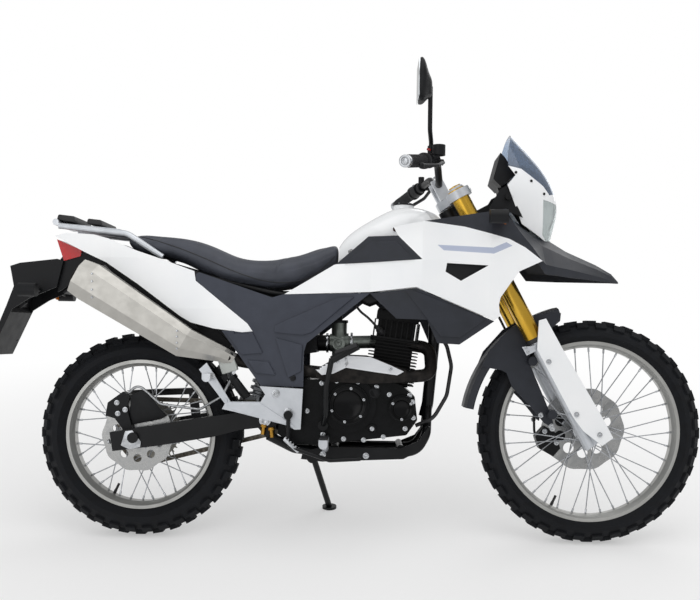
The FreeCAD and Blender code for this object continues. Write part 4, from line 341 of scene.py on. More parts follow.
# Tyres. Knobbly cross-ply carcasses of black rubber with square lugs, moulded in two halves.
# The mould leaves the rubber matt, with a bluish bloom.
tyre_rubber = finish("tyre_rubber", "#0f1013", "#17191d", 0.7, 0.08, 0, 22, 1.1, 0.14, shine=0.2)
paint(tyre_rubber, "front_tyre", "rear_tyre")

# Rims, spokes and hubs. Drawn aluminium rims with a satin anodised finish, laced by thirty-six
# zinc plated spokes whose plated nipples seat in the dimpled well. The valve's stem is rubber.
# Anodising greys the rims and spreads their highlights, and the thin spokes glint.
rim_alloy = finish("satin_anodised_rim", "#b6b6b3", "#a9a9a6", 0.36, 0.05, 0.75, 60, 0.7, 0.008)
spoke_zinc = finish("zinc_plated_spokes", "#b9bbbf", "#a1a4a8", 0.3, 0.08, 1, 12, 0.5, 0.01)
paint(rim_alloy, "front_rim", "rear_rim")
paint(spoke_zinc, "front_spokes", "rear_spokes")
nipple = knob(3.2, 13, 0, 8, edge=0.5)
valve = gathered([knob(4, 34, 0, 16, edge=1.0), knob(5, 12, 0, 12, edge=1.2)])
valve_rubber = finish("valve_cap_rubber", "#141416", "#1c1c1f", 0.6, 0.06, 0, 8, 0.8, 0.05)
front_axle_at, rear_axle_at = (1387, 344), (0, 312)
spoke_count, spoke_turn = 36, math.radians(60)
seat_across, flange_stagger = 4.6, 2.3
valve_turn = math.radians(-115)
for wheel, (centre_x, centre_z), seat_radius, flange_radius, flange_across in (
    ("front", front_axle_at, 259.2, 34, 34), ("rear", rear_axle_at, 209.2, 54, 40),
):
    body = wheel + "_wheel"
    laced = []
    for spoke in range(spoke_count):
        side = 1 if spoke % 2 else -1
        lead = 1 if spoke % 4 < 2 else -1
        turn = math.radians(360 / spoke_count * spoke)
        hub_turn = turn - lead * spoke_turn
        seat = Vector((
            centre_x + seat_radius * math.cos(turn), side * seat_across,
            centre_z + seat_radius * math.sin(turn),
        ))
        hub = Vector((
            centre_x + flange_radius * math.cos(hub_turn), side * (flange_across + lead * flange_stagger),
            centre_z + flange_radius * math.sin(hub_turn),
        ))
        laced.append((seat, hub - seat))
    fasten(placed(nipple, laced), wheel + "_nipples", body, bright_zinc)
    inwards = Vector((-math.cos(valve_turn), 0, -math.sin(valve_turn)))
    valve_seat = (
        centre_x + seat_radius * math.cos(valve_turn), 0, centre_z + seat_radius * math.sin(valve_turn),
    )
    fasten(placed(valve, [(valve_seat, inwards)]), wheel + "_valve", body, valve_rubber)
discard(nipple, valve)

# Brakes. Laser-cut stainless discs with a wavy rim on five flush bolts each, and cast calipers
# anodised black. Grinding gives the discs a grey, slightly cloudy shine.


def around(centre, radius, count, first=0):
    """Places evenly round a centre, starting at a turn in degrees, as the bolts of a disc are."""
    turns = [math.radians(360 / count * step + first) for step in range(count)]
    return [(centre[0] + radius * math.cos(turn), centre[1] + radius * math.sin(turn)) for turn in turns]


def on_skin(name, x, z, side):
    """The place where a line across the upright bike meets a CAD piece from a side, and the way it faces.

    Where the line meets nothing, the place is a set width out from the middle of the bike.
    """
    start_width, missed_width = 700, 150
    bpy.context.view_layer.update()
    away = leaned(x, side * start_width, z)
    hit, place, normal = bike[name].ray_cast(away, (leaned(x, 0, z) - away).normalized())[:3]
    if not hit:
        return (x, side * missed_width, z), (0, side, 0)
    upright = parked.inverted() @ place
    facing = parked.to_3x3().inverted() @ normal
    return (upright.x * 1000, upright.y * 1000, upright.z * 1000), tuple(facing)


disc_steel = finish("ground_stainless_disc", "#b2b2b1", "#a2a3a3", 0.3, 0.08, 1, 14, 0.5, 0.012)
caliper_black = finish(
    "black_anodised_caliper", "#101113", "#17181a", 0.42, 0.05, 0.4, 18, 0.8, 0.04, shine=0.32,
)
paint(disc_steel, "front_disc", "rear_disc")
paint(caliper_black, "front_caliper", "rear_caliper")
disc_bolt = knob(5, 2, 0.8, 16, 0.6, 0.5)
for wheel, centre, face_y, side, radius in (
    ("front", front_axle_at, 62, 1, 30), ("rear", rear_axle_at, -72, -1, 42),
):
    seats = [((x, face_y, z), (0, side, 0)) for x, z in around(centre, radius, 5, 18)]
    fasten(placed(disc_bolt, seats), wheel + "_disc_bolts", wheel + "_wheel", bright_zinc)
discard(disc_bolt)
caliper_bolt = hex_bolt(6)
for name, spots, side, body in (
    ("front_caliper", ((1262, 336), (1300, 300), (1330, 360)), -1, "steering"),
    ("rear_caliper", ((-62, 412), (-34, 392), (-56, 380)), -1, "frame"),
):
    seats = [on_skin(name, x, z, side) for x, z in spots]
    fasten(placed(caliper_bolt, seats), name + "_bolts", body, bright_zinc)
discard(caliper_bolt)
cover_outline = ((-24, 344), (-20, 435), (17, 452), (33, 442), (88, 374), (71, 364))
disc_cover = plate(cover_outline, -88, -84, 1.5)
fasten(disc_cover, "rear_disc_cover", "frame", caliper_black)

# Final drive. A roller chain of stamped and riveted steel plates between hardened sprockets,
# dull and brownish with old oil, under a thin steel guard sprayed black.
oiled_chain = finish("oiled_chain_steel", "#66625b", "#46423c", 0.4, 0.1, 1, 9, 0.7, 0.02)
sprocket_steel = finish("zinc_yellow_sprocket", "#9c9a92", "#83807a", 0.36, 0.08, 1, 16, 0.7, 0.015)
paint(oiled_chain, "chain")
paint(sprocket_steel, "rear_sprocket", "engine_sprocket")
paint(black_coat, "chain_guard")

# Fork. Upside-down tubes drawn in aluminium and anodised gold, over silver painted legs, clamped
# by cast aluminium yokes with pinch bolts. The seals are black rubber. The anodised tubes keep
# the metal's long highlights, and the paint is softer and cloudier.
gold_anodised = finish(
    "gold_anodised_tube", "#d8b04a", "#cba038", 0.26, 0.04, 1, 90, 0.4, 0.006, (1, 1, 0.15),
)
cast_silver = finish("silver_painted_casting", "#cccfd4", "#c0c4c9", 0.36, 0.06, 0.6, 30, 1.0, 0.04)
seal_rubber = finish("seal_rubber", "#151517", "#1e1e21", 0.55, 0.06, 0, 10, 0.6, 0.04)
paint(gold_anodised, "fork_tubes")
paint(cast_silver, "fork_legs", "yokes", "front_axle")
tube_ahead, tube_across = 38, 97
head_x, head_z = 959, 985
rake = math.radians(28.7)
fork_up = Vector((-math.sin(rake), 0, math.cos(rake)))
fork_ahead = Vector((math.cos(rake), 0, math.sin(rake)))


def on_fork(ahead, across, up):
    """A place in the steering head's own directions, on the upright bike."""
    return Vector((head_x, across, head_z)) + fork_ahead * ahead + fork_up * up


seal = knob(29.5, 14, 2.0, 32, 0.82, 1.5)
seals = placed(seal, [(on_fork(tube_ahead, side * tube_across, -424), -fork_up) for side in flanks])
fasten(seals, "fork_seals", "steering", seal_rubber)
top_cap = gathered([knob(24, 7, 1.5, 40, 0.8, 0.8), knob(9, 13, 1, 6, 0.7, 0.8)])
caps = placed(top_cap, [(on_fork(tube_ahead, side * tube_across, 80), fork_up) for side in flanks])
fasten(caps, "fork_top_caps", "steering", cast_silver)
pinch = hex_bolt(5)
yoke_face, upper_yoke, lower_yoke = tube_ahead + 37, 63, -73
pinches = []
for side in flanks:
    pinches.append((on_fork(yoke_face, side * (tube_across - 12), upper_yoke), fork_ahead))
    pinches.append((on_fork(6, side * 42, 147), fork_up))
    pinches.append((on_fork(yoke_face, side * (tube_across - 12), lower_yoke), fork_ahead))
    pinches.append((on_fork(yoke_face, side * (tube_across + 9), lower_yoke), fork_ahead))
fasten(placed(pinch, pinches), "yoke_bolts", "steering", bright_zinc)
stay_outline = ((1157, 603), (1172, 577), (1208, 596), (1204, 612), (1186, 606))
stays = gathered([plate(stay_outline, side * 118, side * 121.5, 1.2) for side in flanks])
fasten(stays, "guard_stays", "steering", cast_silver)
stay_bolt = hex_bolt(4)
stay_spots = ((1168, 600), (1175, 587))
stay_seats = [((x, side * 121.5, z), (0, side, 0)) for side in flanks for x, z in stay_spots]
fasten(placed(stay_bolt, stay_seats), "guard_stay_bolts", "steering", bright_zinc)
discard(seal, top_cap, pinch, stay_bolt)

# Handlebar and controls. A bent steel tube sprayed black in cast clamps, with moulded rubber
# grips ribbed by rings, turned bar-end weights, and black moulded switch blocks and levers.
# The mould's grain dulls the black, and the rubber is duller still.
black_moulding = finish(
    "black_grained_moulding", "#0d0e10", "#141518", 0.48, 0.05, 0, 35, 0.9, 0.06, shine=0.22,
)
grip_rubber = finish("grip_rubber", "#161618", "#1e1f22", 0.7, 0.06, 0, 10, 0.7, 0.08)
paint(black_coat, "handlebar")
paint(black_moulding, "hand_controls", "mirror")
paint(grip_rubber, "grips")
grip_inner, grip_outer = Vector((872, 218, 1136)), Vector((792, 398, 1098))
ring_count, first_share, share_step = 13, 0.42, 0.042
ring = knob(18, 3.2, 0, 28, edge=1.2)
weight = gathered([knob(17, 17, 3, 32, 0.6, 2.0), knob(8, 15, 0, 24, edge=0.8)])
rings, weights = [], []
for side in flanks:
    inner = Vector((grip_inner.x, side * grip_inner.y, grip_inner.z))
    outer = Vector((grip_outer.x, side * grip_outer.y, grip_outer.z))
    for step in range(ring_count):
        rings.append((inner.lerp(outer, first_share + step * share_step), outer - inner))
    weights.append((outer + (outer - inner).normalized(), outer - inner))
fasten(placed(ring, rings), "grip_rings", "steering", grip_rubber)
fasten(placed(weight, weights), "bar_end_weights", "steering", bright_zinc)
switch_red = finish("red_switch", "#a51a16", "#8d1512", 0.35, 0.04, 0, 6, 0.5, 0.02)
button = knob(6, 5, 0.8, 20, 0.7, 0.8)
kill_seats = [((858, -258, 1157), (0.3, 0, 1)), ((846, -262, 1143), (-1, 0, 0.2))]
fasten(placed(button, kill_seats), "kill_switch", "steering", switch_red)
light_button = finish("grey_switch_caps", "#5a5e64", "#4b4f55", 0.45, 0.04, 0, 6, 0.5, 0.02)
light_seats = [((846, 262, 1143), (-1, 0, 0.2)), ((842, 244, 1138), (-1, 0, 0.2))]
fasten(placed(button, light_seats), "light_switches", "steering", light_button)
discard(ring, weight, button)

# Mirror. One glass on the right, silvered behind a clear face, set in the black wedge shell. It
# is smooth enough to reflect sharply.
glass_silver = finish("mirror_glass", "#dfe3e6", "#d5d9dc", 0.04, 0.015, 1, 80, 0.4, 0.0)
glass_edge = ((819.5, 1276), (819.5, 1376), (822.6, 1376), (822.6, 1276))
mirror_glass = plate(glass_edge, -404, -294, 0.8)
fasten(mirror_glass, "mirror_glass", "steering", glass_silver)

# Front mudguard and fork guards. Injection moulded polypropylene in its own slate grey with a
# fine spark texture, which dulls it, and white guards from a polished mould, with a clear sheen.
# Flanged bolts hold both to the fork feet.
slate_moulding = finish(
    "slate_grained_moulding", "#1f2229", "#272a32", 0.5, 0.05, 0, 45, 0.8, 0.07, shine=0.36,
)
white_gloss = finish("gloss_white_moulding", "#f3f4f5", "#edeff1", 0.14, 0.03, 0, 160, 30, 0.02)
white_shader = white_gloss.node_tree.nodes["Principled BSDF"]
white_shader.inputs["Coat Weight"].default_value = 0.35
white_shader.inputs["Coat Roughness"].default_value = 0.06
paint(slate_moulding, "front_mudguard", "dark_panels", "beak")
paint(white_gloss, "fork_guards", "fuel_tank", "tank_shrouds", "tail_fairings", "headlamp_cowl")


def both_skins(name, *spots):
    """Places on both flanks of a CAD piece, and the ways they face."""
    return [on_skin(name, x, z, side) for side in flanks for x, z in spots]


guard_bolt = hex_bolt(6)
mudguard_seats = both_skins("front_mudguard", (1229, 395), (1246, 363), (1262, 362))
fasten(placed(guard_bolt, mudguard_seats), "mudguard_bolts", "steering", bright_zinc)
guard_seats = both_skins("fork_guards", (1236, 560), (1322, 404), (1392, 345))
fasten(placed(guard_bolt, guard_seats), "fork_guard_bolts", "steering", bright_zinc)
discard(guard_bolt)

# Engine. An air-cooled single with sand-cast black cases, machined cover rims and bright bolts,
# and a finned barrel and head sprayed heat-proof black. The sand leaves the paint uneven, the
# cover faces are smooth and glossy, and the fins are dull.


def socket_bolt(radius):
    """A button head bolt with a sunk drive."""
    head = knob(radius, radius * 0.7, 0, 24, edge=radius * 0.35)
    pick(head, lambda centre, normal: normal.z > 0.95)
    bpy.ops.mesh.inset(thickness=radius * 0.22 / 1000)
    bpy.ops.mesh.extrude_region_move(TRANSFORM_OT_translate={"value": (0, 0, -radius * 0.4 / 1000)})
    bpy.ops.object.mode_set(mode="OBJECT")
    return head


case_black = finish("black_engine_paint", "#08090a", "#0e0f11", 0.3, 0.07, 0.1, 24, 1.3, 0.08, shine=0.16)
fin_black = finish("heatproof_black", "#0b0b0c", "#131314", 0.5, 0.08, 0.1, 12, 0.9, 0.06, shine=0.18)
polished_black = finish("gloss_black_cover", "#040405", "#08090b", 0.16, 0.05, 0.2, 30, 0.8, 0.02, shine=0.2)
paint(case_black, "crankcase")
paint(fin_black, "cylinder")


def cover_face(name, centre, across, side, rim, middle):
    """The machined rim and the raised middle of a round cover, on the side of the engine where it sits."""
    way = (0, side, 0)
    faces = gathered([
        placed(rim, [((centre[0], across, centre[1]), way)]),
        placed(middle, [((centre[0], across + side, centre[1]), way)]),
    ])
    discard(rim, middle)
    fasten(faces, name, "frame", polished_black)


clutch_at, oil_pump_at, generator_at = (640, 422), (800, 413), (690, 400)
clutch_rim, clutch_middle = knob(58, 7, 5, 56, 0.86, 1.2), knob(42, 6, 1.6, 48, 0.9, 1.5)
cover_face("clutch_cover_face", clutch_at, -151, -1, clutch_rim, clutch_middle)
oil_rim, oil_middle = knob(37, 7, 5, 40, 0.8, 1.2), knob(24, 6, 1.5, 32, 0.85, 1.2)
cover_face("oil_pump_cover_face", oil_pump_at, -141, -1, oil_rim, oil_middle)
generator_rim, generator_middle = knob(70, 8, 5, 56, 0.86, 1.5), knob(48, 7, 2, 48, 0.85, 1.5)
cover_face("generator_cover_face", generator_at, 145, 1, generator_rim, generator_middle)
case_bolt = hex_bolt(5.5)
right_spots = (
    (560, 484), (517, 400), (605, 492), (668, 490), (724, 476), (763, 453), (824, 452), (832, 434),
    (836, 385), (628, 318), (688, 316), (747, 326), (812, 352), (566, 330),
)
left_spots = (
    (566, 330), (540, 400), (560, 470), (640, 486), (724, 474), (800, 440), (812, 370), (760, 326),
    (680, 312),
)
case_seats = [on_skin("crankcase", x, z, -1) for x, z in right_spots]
case_seats += [on_skin("crankcase", x, z, 1) for x, z in left_spots]
fasten(placed(case_bolt, case_seats), "crankcase_bolts", "frame", bright_zinc)
ring_bolt = socket_bolt(4.5)
ring_seats = [((x, -157.6, z), (0, -1, 0)) for x, z in around(clutch_at, 50, 6, 20)]
ring_seats += [((x, 152.6, z), (0, 1, 0)) for x, z in around(generator_at, 61, 6, 20)]
ring_seats += [((x, -147.6, z), (0, -1, 0)) for x, z in around(oil_pump_at, 31, 3, 30)]
fasten(placed(ring_bolt, ring_seats), "cover_bolts", "frame", bright_zinc)
sight_ring = knob(15, 5, 2.5, 28, 0.72, 0.8)
sight, sight_way = on_skin("crankcase", 713, 350, -1)
fasten(placed(sight_ring, [(sight, sight_way)]), "oil_sight_ring", "frame", polished_black)
sight_bolt = hex_bolt(5)
bolt_seat = (sight[0], sight[1] - 2, sight[2])
fasten(placed(sight_bolt, [(bolt_seat, sight_way)]), "oil_sight_bolt", "frame", bright_zinc)
filler = gathered([knob(15, 16, 2, 20, 0.7, 1.2), knob(19, 4, 0, 32, edge=0.8)])
fasten(placed(filler, [on_skin("crankcase", 716, 458, -1)]), "oil_filler_cap", "frame", black_moulding)
discard(case_bolt, ring_bolt, sight_ring, sight_bolt, filler)

# Ignition. A moulded rubber cap on the spark plug in the right flank of the head, whose black
# lead runs up beside the frame's backbone and is held at both ends.
plug_cap = gathered([knob(11, 30, 0, 20, edge=3), knob(8, 44, 0, 20, edge=2)])
plug_seat = on_skin("cylinder", 742, 634, -1)[0]
plug_tilt = Vector((-0.45, -0.75, 0.5))
fasten(placed(plug_cap, [(plug_seat, plug_tilt)]), "spark_plug_cap", "frame", seal_rubber)
discard(plug_cap)


def cable(name, places, radius, body, material):
    """A cable or hose held at both ends, bent smoothly through its places, as a closed tube."""
    start()
    bpy.ops.curve.primitive_bezier_curve_add(location=(0, 0, 0))
    line = bpy.context.object
    spline = line.data.splines[0]
    spline.bezier_points.add(len(places) - 2)
    for point, place in zip(spline.bezier_points, places):
        point.co = Vector(place) / 1000
        point.handle_left_type = point.handle_right_type = "AUTO"
    line.data.bevel_depth = radius / 1000
    line.data.bevel_resolution = 3
    line.data.resolution_u = 8
    line.data.use_fill_caps = True
    bpy.ops.object.convert(target="MESH")
    tube = bpy.context.object
    bpy.ops.object.shade_smooth()
    return fasten(tube, name, body, material)


cap_reach, first_bend = 42, Vector((-26, -18, 26))
lead_start = Vector(plug_seat) + plug_tilt.normalized() * cap_reach
lead_route = [lead_start, lead_start + first_bend, (668, -84, 706), (650, -52, 742), (664, -34, 778)]
cable("spark_plug_lead", lead_route, 3.6, "frame", seal_rubber)

# Carburettor and intake. A die-cast constant-velocity body in raw grey-green zinc alloy, with a
# black diaphragm cap, clamped in rubber boots by bright worm clips. The raw alloy is dull.
zinc_casting = finish("raw_zinc_casting", "#8b918c", "#767c77", 0.4, 0.08, 0.9, 14, 0.9, 0.05)
paint(zinc_casting, "carburettor")
paint(black_moulding, "airbox")
clip = knob(30.5, 7, 0, 40, edge=0.8)
clip_seats = [(place, (1, 0, 0.02)) for place in ((566, 0, 604), (642, 0, 607))]
fasten(placed(clip, clip_seats), "boot_clips", "frame", bright_zinc)
side_cover = gathered([knob(20, 9, 2.5, 36, 0.75, 1.2), knob(9, 15, 1.5, 6, 0.7, 0.8)])
cover_seats = [((606, side * 26, 602), (0, side, 0)) for side in flanks]
fasten(placed(side_cover, cover_seats), "carburettor_covers", "frame", zinc_casting)
slide_cap = gathered([knob(27, 9, 2, 40, 0.8, 1.5), knob(9, 24, 0, 20, edge=1.5)])
fasten(placed(slide_cap, [((606, 0, 667), (0, 0, 1))]), "slide_cap", "frame", black_moulding)
discard(clip, side_cover, slide_cap)
throttle_route = [(606, 0, 690), (607, -6, 712), (640, -28, 742), (690, -34, 790), (752, -30, 826)]
cable("throttle_cable", throttle_route, 3, "frame", seal_rubber)

# Exhaust. A mild steel header burnt dull black, under an aluminium heat shield on two bolts, and
# a faceted stainless can with rivets at both ends and a dark outlet. Brushing draws the shield's
# highlights out along it, and leaves the can's faces even and satin.


def raised_field(node, outline, side, proud=5, wall=6, pitch=7, edge=2.2):
    """A raised field of a moulding: a sheet cut to a convex outline, laid on its panel, with soft edges."""
    xs, zs = [x for x, z in outline], [z for x, z in outline]
    width, height = max(xs) - min(xs), max(zs) - min(zs)
    centre = Vector(((max(xs) + min(xs)) / 2, 0, (max(zs) + min(zs)) / 2))
    margin, beyond_any_panel = 1.04, 0.3
    start()
    bpy.ops.mesh.primitive_grid_add(
        x_subdivisions=max(3, int(width / pitch)), y_subdivisions=max(3, int(height / pitch)), size=1,
        location=(centre.x / 1000, side * 0.5, centre.z / 1000), rotation=(math.radians(90), 0, 0),
    )
    sheet = bpy.context.object
    sheet.scale = (width * margin / 1000, height * margin / 1000, 1)
    bpy.ops.object.transform_apply(location=True, rotation=True, scale=True)
    bpy.ops.object.mode_set(mode="EDIT")
    for (x, z), (next_x, next_z) in zip(outline, outline[1:] + outline[:1]):
        out = Vector((next_z - z, 0, x - next_x)).normalized()
        if out.dot(Vector((x, 0, z)) - centre) < 0:
            out = -out
        bpy.ops.mesh.select_all(action="SELECT")
        bpy.ops.mesh.bisect(plane_co=(x / 1000, 0, z / 1000), plane_no=out, clear_outer=True)
    bpy.ops.object.mode_set(mode="OBJECT")
    sheet.matrix_world = parked
    bpy.context.view_layer.update()
    laid = sheet.modifiers.new("laid_on_panel", "SHRINKWRAP")
    laid.target = bike[node]
    laid.wrap_method = "PROJECT"
    laid.use_project_y = True
    laid.use_project_x = laid.use_project_z = False
    laid.use_negative_direction = side > 0
    laid.use_positive_direction = side < 0
    laid.offset = proud / 1000
    bpy.ops.object.modifier_apply(modifier=laid.name)
    missed = [abs(vertex.co.y) > beyond_any_panel for vertex in sheet.data.vertices]
    bpy.ops.object.mode_set(mode="EDIT")
    bpy.ops.mesh.select_mode(type="VERT")
    bpy.ops.mesh.select_all(action="DESELECT")
    bpy.ops.object.mode_set(mode="OBJECT")
    for vertex, stray in zip(sheet.data.vertices, missed):
        vertex.select = stray
    bpy.ops.object.mode_set(mode="EDIT")
    bpy.ops.mesh.delete(type="VERT")
    bpy.ops.mesh.select_all(action="SELECT")
    bpy.ops.mesh.normals_make_consistent(inside=False)
    bpy.ops.object.mode_set(mode="OBJECT")
    if sum(face.normal.y * face.area for face in sheet.data.polygons) * side < 0:
        bpy.ops.object.mode_set(mode="EDIT")
        bpy.ops.mesh.select_all(action="SELECT")
        bpy.ops.mesh.flip_normals()
        bpy.ops.object.mode_set(mode="OBJECT")
    thick = sheet.modifiers.new("moulded_wall", "SOLIDIFY")
    thick.thickness = wall / 1000
    thick.offset = -1
    bpy.ops.object.modifier_apply(modifier=thick.name)
    sheet.matrix_world = Matrix.Identity(4)
    ease(sheet, edge, 48)
    return sheet


burnt_steel = finish("burnt_header_steel", "#2a2725", "#191818", 0.52, 0.1, 0.8, 20, 0.9, 0.04)
brushed_can = finish("brushed_stainless", "#b4b2ad", "#aaa8a3", 0.32, 0.04, 1, 30, 0.7, 0.006)
brushed_shield = finish(
    "brushed_aluminium_shield", "#e3e5e8", "#d8dade", 0.34, 0.05, 0.6, 8, 1.2, 0.012, (0.15, 1, 1),
)
paint(burnt_steel, "exhaust_header", "header_shield")
paint(brushed_can, "silencer")
shield_lobes = (
    ((541, 527), (556, 537), (600, 561), (632, 569), (640, 545), (631, 532), (594, 514), (561, 510)),
    ((628, 569), (705, 565), (766, 541), (804, 524), (784, 513), (727, 520), (630, 533)),
)
shield_faces = [raised_field("header_shield", outline, -1, 7, 8, 5, 3) for outline in shield_lobes]
fasten(gathered(shield_faces), "heat_shield_face", "frame", brushed_shield)
shield_bolt = socket_bolt(6)
shield_seats = []
for x, z in ((607, 552), (764, 531)):
    place, way = on_skin("header_shield", x, z, -1)
    shield_seats.append(((place[0], place[1] - 7, place[2]), way))
fasten(placed(shield_bolt, shield_seats), "heat_shield_bolts", "frame", bright_zinc)
can_ahead = Vector((456, 38, -242)).normalized()
guard_outline = (
    (-100, 858), (-60, 856), (20, 800), (110, 716), (190, 640), (150, 640), (60, 700), (-40, 770),
    (-100, 830),
)
fasten(plate(guard_outline, -114, -111, 1), "silencer_heat_guard", "frame", black_moulding)
outlet = gathered([knob(25, 14, 11, 40, 0.86, 1.2), knob(34, 4, 0, 40, edge=1.2)])
fasten(placed(outlet, [((-158, -168, 788), -can_ahead)]), "silencer_outlet", "frame", burnt_steel)
rivet = knob(3.4, 2.4, 0, 16, edge=1.0)
rivet_seats = []
(rear_x, rear_z), (front_x, front_z) = (-112, 764), (150, 602)
for along_share, drop_share in ((0.03, 1), (0.97, 0.75)):
    for drop in (-34, -12, 12, 34):
        x = rear_x + (front_x - rear_x) * along_share
        z = rear_z + (front_z - rear_z) * along_share + drop * drop_share
        rivet_seats.append(on_skin("silencer", x, z, -1))
fasten(placed(rivet, rivet_seats), "silencer_rivets", "frame", bright_zinc)
discard(shield_bolt, outlet, rivet)

# Fuel tank. A pressed steel shell in gloss white under the side shrouds, with a black flush
# filler cap on six screws whose round lock is left bare, and a dark bolt in each flank.
cap_ring = gathered([
    knob(34, 4, 0, 48, edge=1.2), knob(27, 8, 2.5, 48, 0.8, 1.6), knob(9, 11, 1.5, 32, 0.6, 0.8),
])
cap_screw = socket_bolt(2.8)
cap_x, cap_z = 800, 1036
cap_screws = [((x, y, cap_z + 4), (0, 0, 1)) for x, y in around((cap_x, 0), 30, 6)]
fasten(placed(cap_ring, [((cap_x, 0, cap_z), (0, 0, 1))]), "filler_cap", "frame", black_moulding)
fasten(placed(cap_screw, cap_screws), "filler_cap_screws", "frame", bright_zinc)
dark_bolt_finish = finish("dark_tank_bolt", "#3a1d20", "#2a1517", 0.35, 0.05, 0.6, 8, 0.5, 0.02)
tank_bolt = socket_bolt(7)
fasten(placed(tank_bolt, both_skins("fuel_tank", (771, 946))), "tank_flank_bolts", "frame", dark_bolt_finish)
discard(cap_ring, cap_screw, tank_bolt)

# Seat. Moulded foam under a stretched cover of grey vinyl, stapled under the base. A sewn seam
# runs round each side below the shoulder, and one crosses the saddle. The vinyl's leather grain
# spreads the light, so it has a soft sheen and no sharp highlight.
seat_vinyl = finish("seat_vinyl", "#3c3f47", "#474a53", 0.52, 0.05, 0, 60, 1.8, 0.16, shine=0.36)
voxel, merge, most_swell = 0.006, 0.0001, 0.004
start()
seat = bpy.data.objects.new("seat_cover", bike["seat"].data.copy())
bpy.context.scene.collection.objects.link(seat)
seat.select_set(True)
bpy.context.view_layer.objects.active = seat
bpy.ops.object.mode_set(mode="EDIT")
bpy.ops.mesh.select_all(action="SELECT")
bpy.ops.mesh.remove_doubles(threshold=merge)
bpy.ops.object.mode_set(mode="OBJECT")
rounded = seat.modifiers.new("foam_block", "REMESH")
rounded.mode = "VOXEL"
rounded.voxel_size = voxel
bpy.ops.object.modifier_apply(modifier=rounded.name)
slack = seat.modifiers.new("foam_shoulders", "SMOOTH")
slack.factor = 0.6
slack.iterations = 10
bpy.ops.object.modifier_apply(modifier=slack.name)
flat = [vertex.co.copy() for vertex in seat.data.vertices]
puff = seat.modifiers.new("foam_pressure", "CLOTH")
puff.settings.use_pressure = True
puff.settings.uniform_pressure_force = 4
puff.settings.effector_weights.gravity = 0
for moment in range(1, 21):
    bpy.context.scene.frame_set(moment)
bpy.ops.object.modifier_apply(modifier=puff.name)
bpy.context.scene.frame_set(1)
for vertex, before in zip(seat.data.vertices, flat):
    moved = vertex.co - before
    if moved.length > most_swell:
        vertex.co = before + moved.normalized() * most_swell
bpy.ops.object.mode_set(mode="EDIT")
bpy.ops.mesh.select_all(action="SELECT")
bpy.ops.mesh.subdivide(number_cuts=1, smoothness=0.3)
bpy.ops.object.mode_set(mode="OBJECT")
# The cross seam bows back towards the flanks. It is sunk between two swells of foam.
seam_x, seam_bow, half_width, sink = 452, 46, 126, 1.0
seam_depth, seam_width, swell_height, swell_width = 2.6, 3.4, 2.2, 24
upright = parked.inverted()
facings = [vertex.normal.copy() for vertex in seat.data.vertices]
for vertex, facing in zip(seat.data.vertices, facings):
    place = upright @ vertex.co
    x, y = place.x * 1000, abs(place.y) * 1000
    cross = seam_x - (y / half_width) ** 2 * seam_bow
    groove = seam_depth * math.exp(-((x - cross) / seam_width) ** 2)
    swell = swell_height * math.exp(-((x - cross) / swell_width) ** 2) - groove
    if facing.z > 0.2:
        vertex.co += facing * (swell - sink) / 1000
bpy.ops.object.shade_smooth()
seat.data.materials.clear()
seat.data.materials.append(seat_vinyl)
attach(seat, "frame")
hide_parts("seat")


def seat_edge(x, z, side):
    """The place on the seat's flank at a length and height, or None beyond the cover."""
    start_width = 400
    away = leaned(x, side * start_width, z)
    hit, place = seat.ray_cast(away, (leaned(x, 0, z) - away).normalized())[:2]
    return (parked.inverted() @ place) * 1000 if hit else None


piping = finish("seat_piping", "#1b1c1f", "#232428", 0.5, 0.05, 0, 20, 1.0, 0.06)
bpy.context.view_layer.update()
seam_spots = (
    (-10, 921), (40, 908), (90, 893), (140, 876), (190, 857), (240, 836), (290, 815), (340, 798), (390, 787),
    (440, 785), (490, 793), (530, 812), (565, 842), (590, 868),
)
for side, name in ((-1, "right"), (1, "left")):
    line = [seat_edge(x, z, side) for x, z in seam_spots]
    cable("seat_seam_" + name, [place for place in line if place is not None], 1.6, "frame", piping)

# Side panels and dark infill panels. Blue-grey and slate polypropylene with raised fields moulded
# into the faces and bare places for lettering. The mould's fine texture makes them matt. One dark
# shouldered bolt holds each side panel.
panel_moulding = finish(
    "blue_grey_panel_moulding", "#30343f", "#383c47", 0.5, 0.05, 0, 45, 0.8, 0.07, shine=0.36,
)
paint(panel_moulding, "side_panels")
side_fields = (
    ((420, 654), (606, 739), (652, 742), (529, 636), (502, 627), (418, 634)),
    ((422, 617), (502, 597), (500, 520), (462, 500)),
    ((270, 634), (352, 634), (384, 572), (322, 566)),
    ((340, 549), (402, 546), (424, 507), (364, 512)),
)
knee_field = ((622, 840), (700, 906), (772, 908), (826, 852))
lower_field = ((800, 766), (836, 762), (958, 714), (1040, 684), (966, 628), (908, 630))
for side, name in ((-1, "right"), (1, "left")):
    fields = [raised_field("side_panels", outline, side) for outline in side_fields]
    fasten(gathered(fields), name + "_side_panel_fields", "frame", panel_moulding)
    fields = [raised_field("dark_panels", outline, side, 4) for outline in (knee_field, lower_field)]
    fasten(gathered(fields), name + "_infill_fields", "frame", slate_moulding)
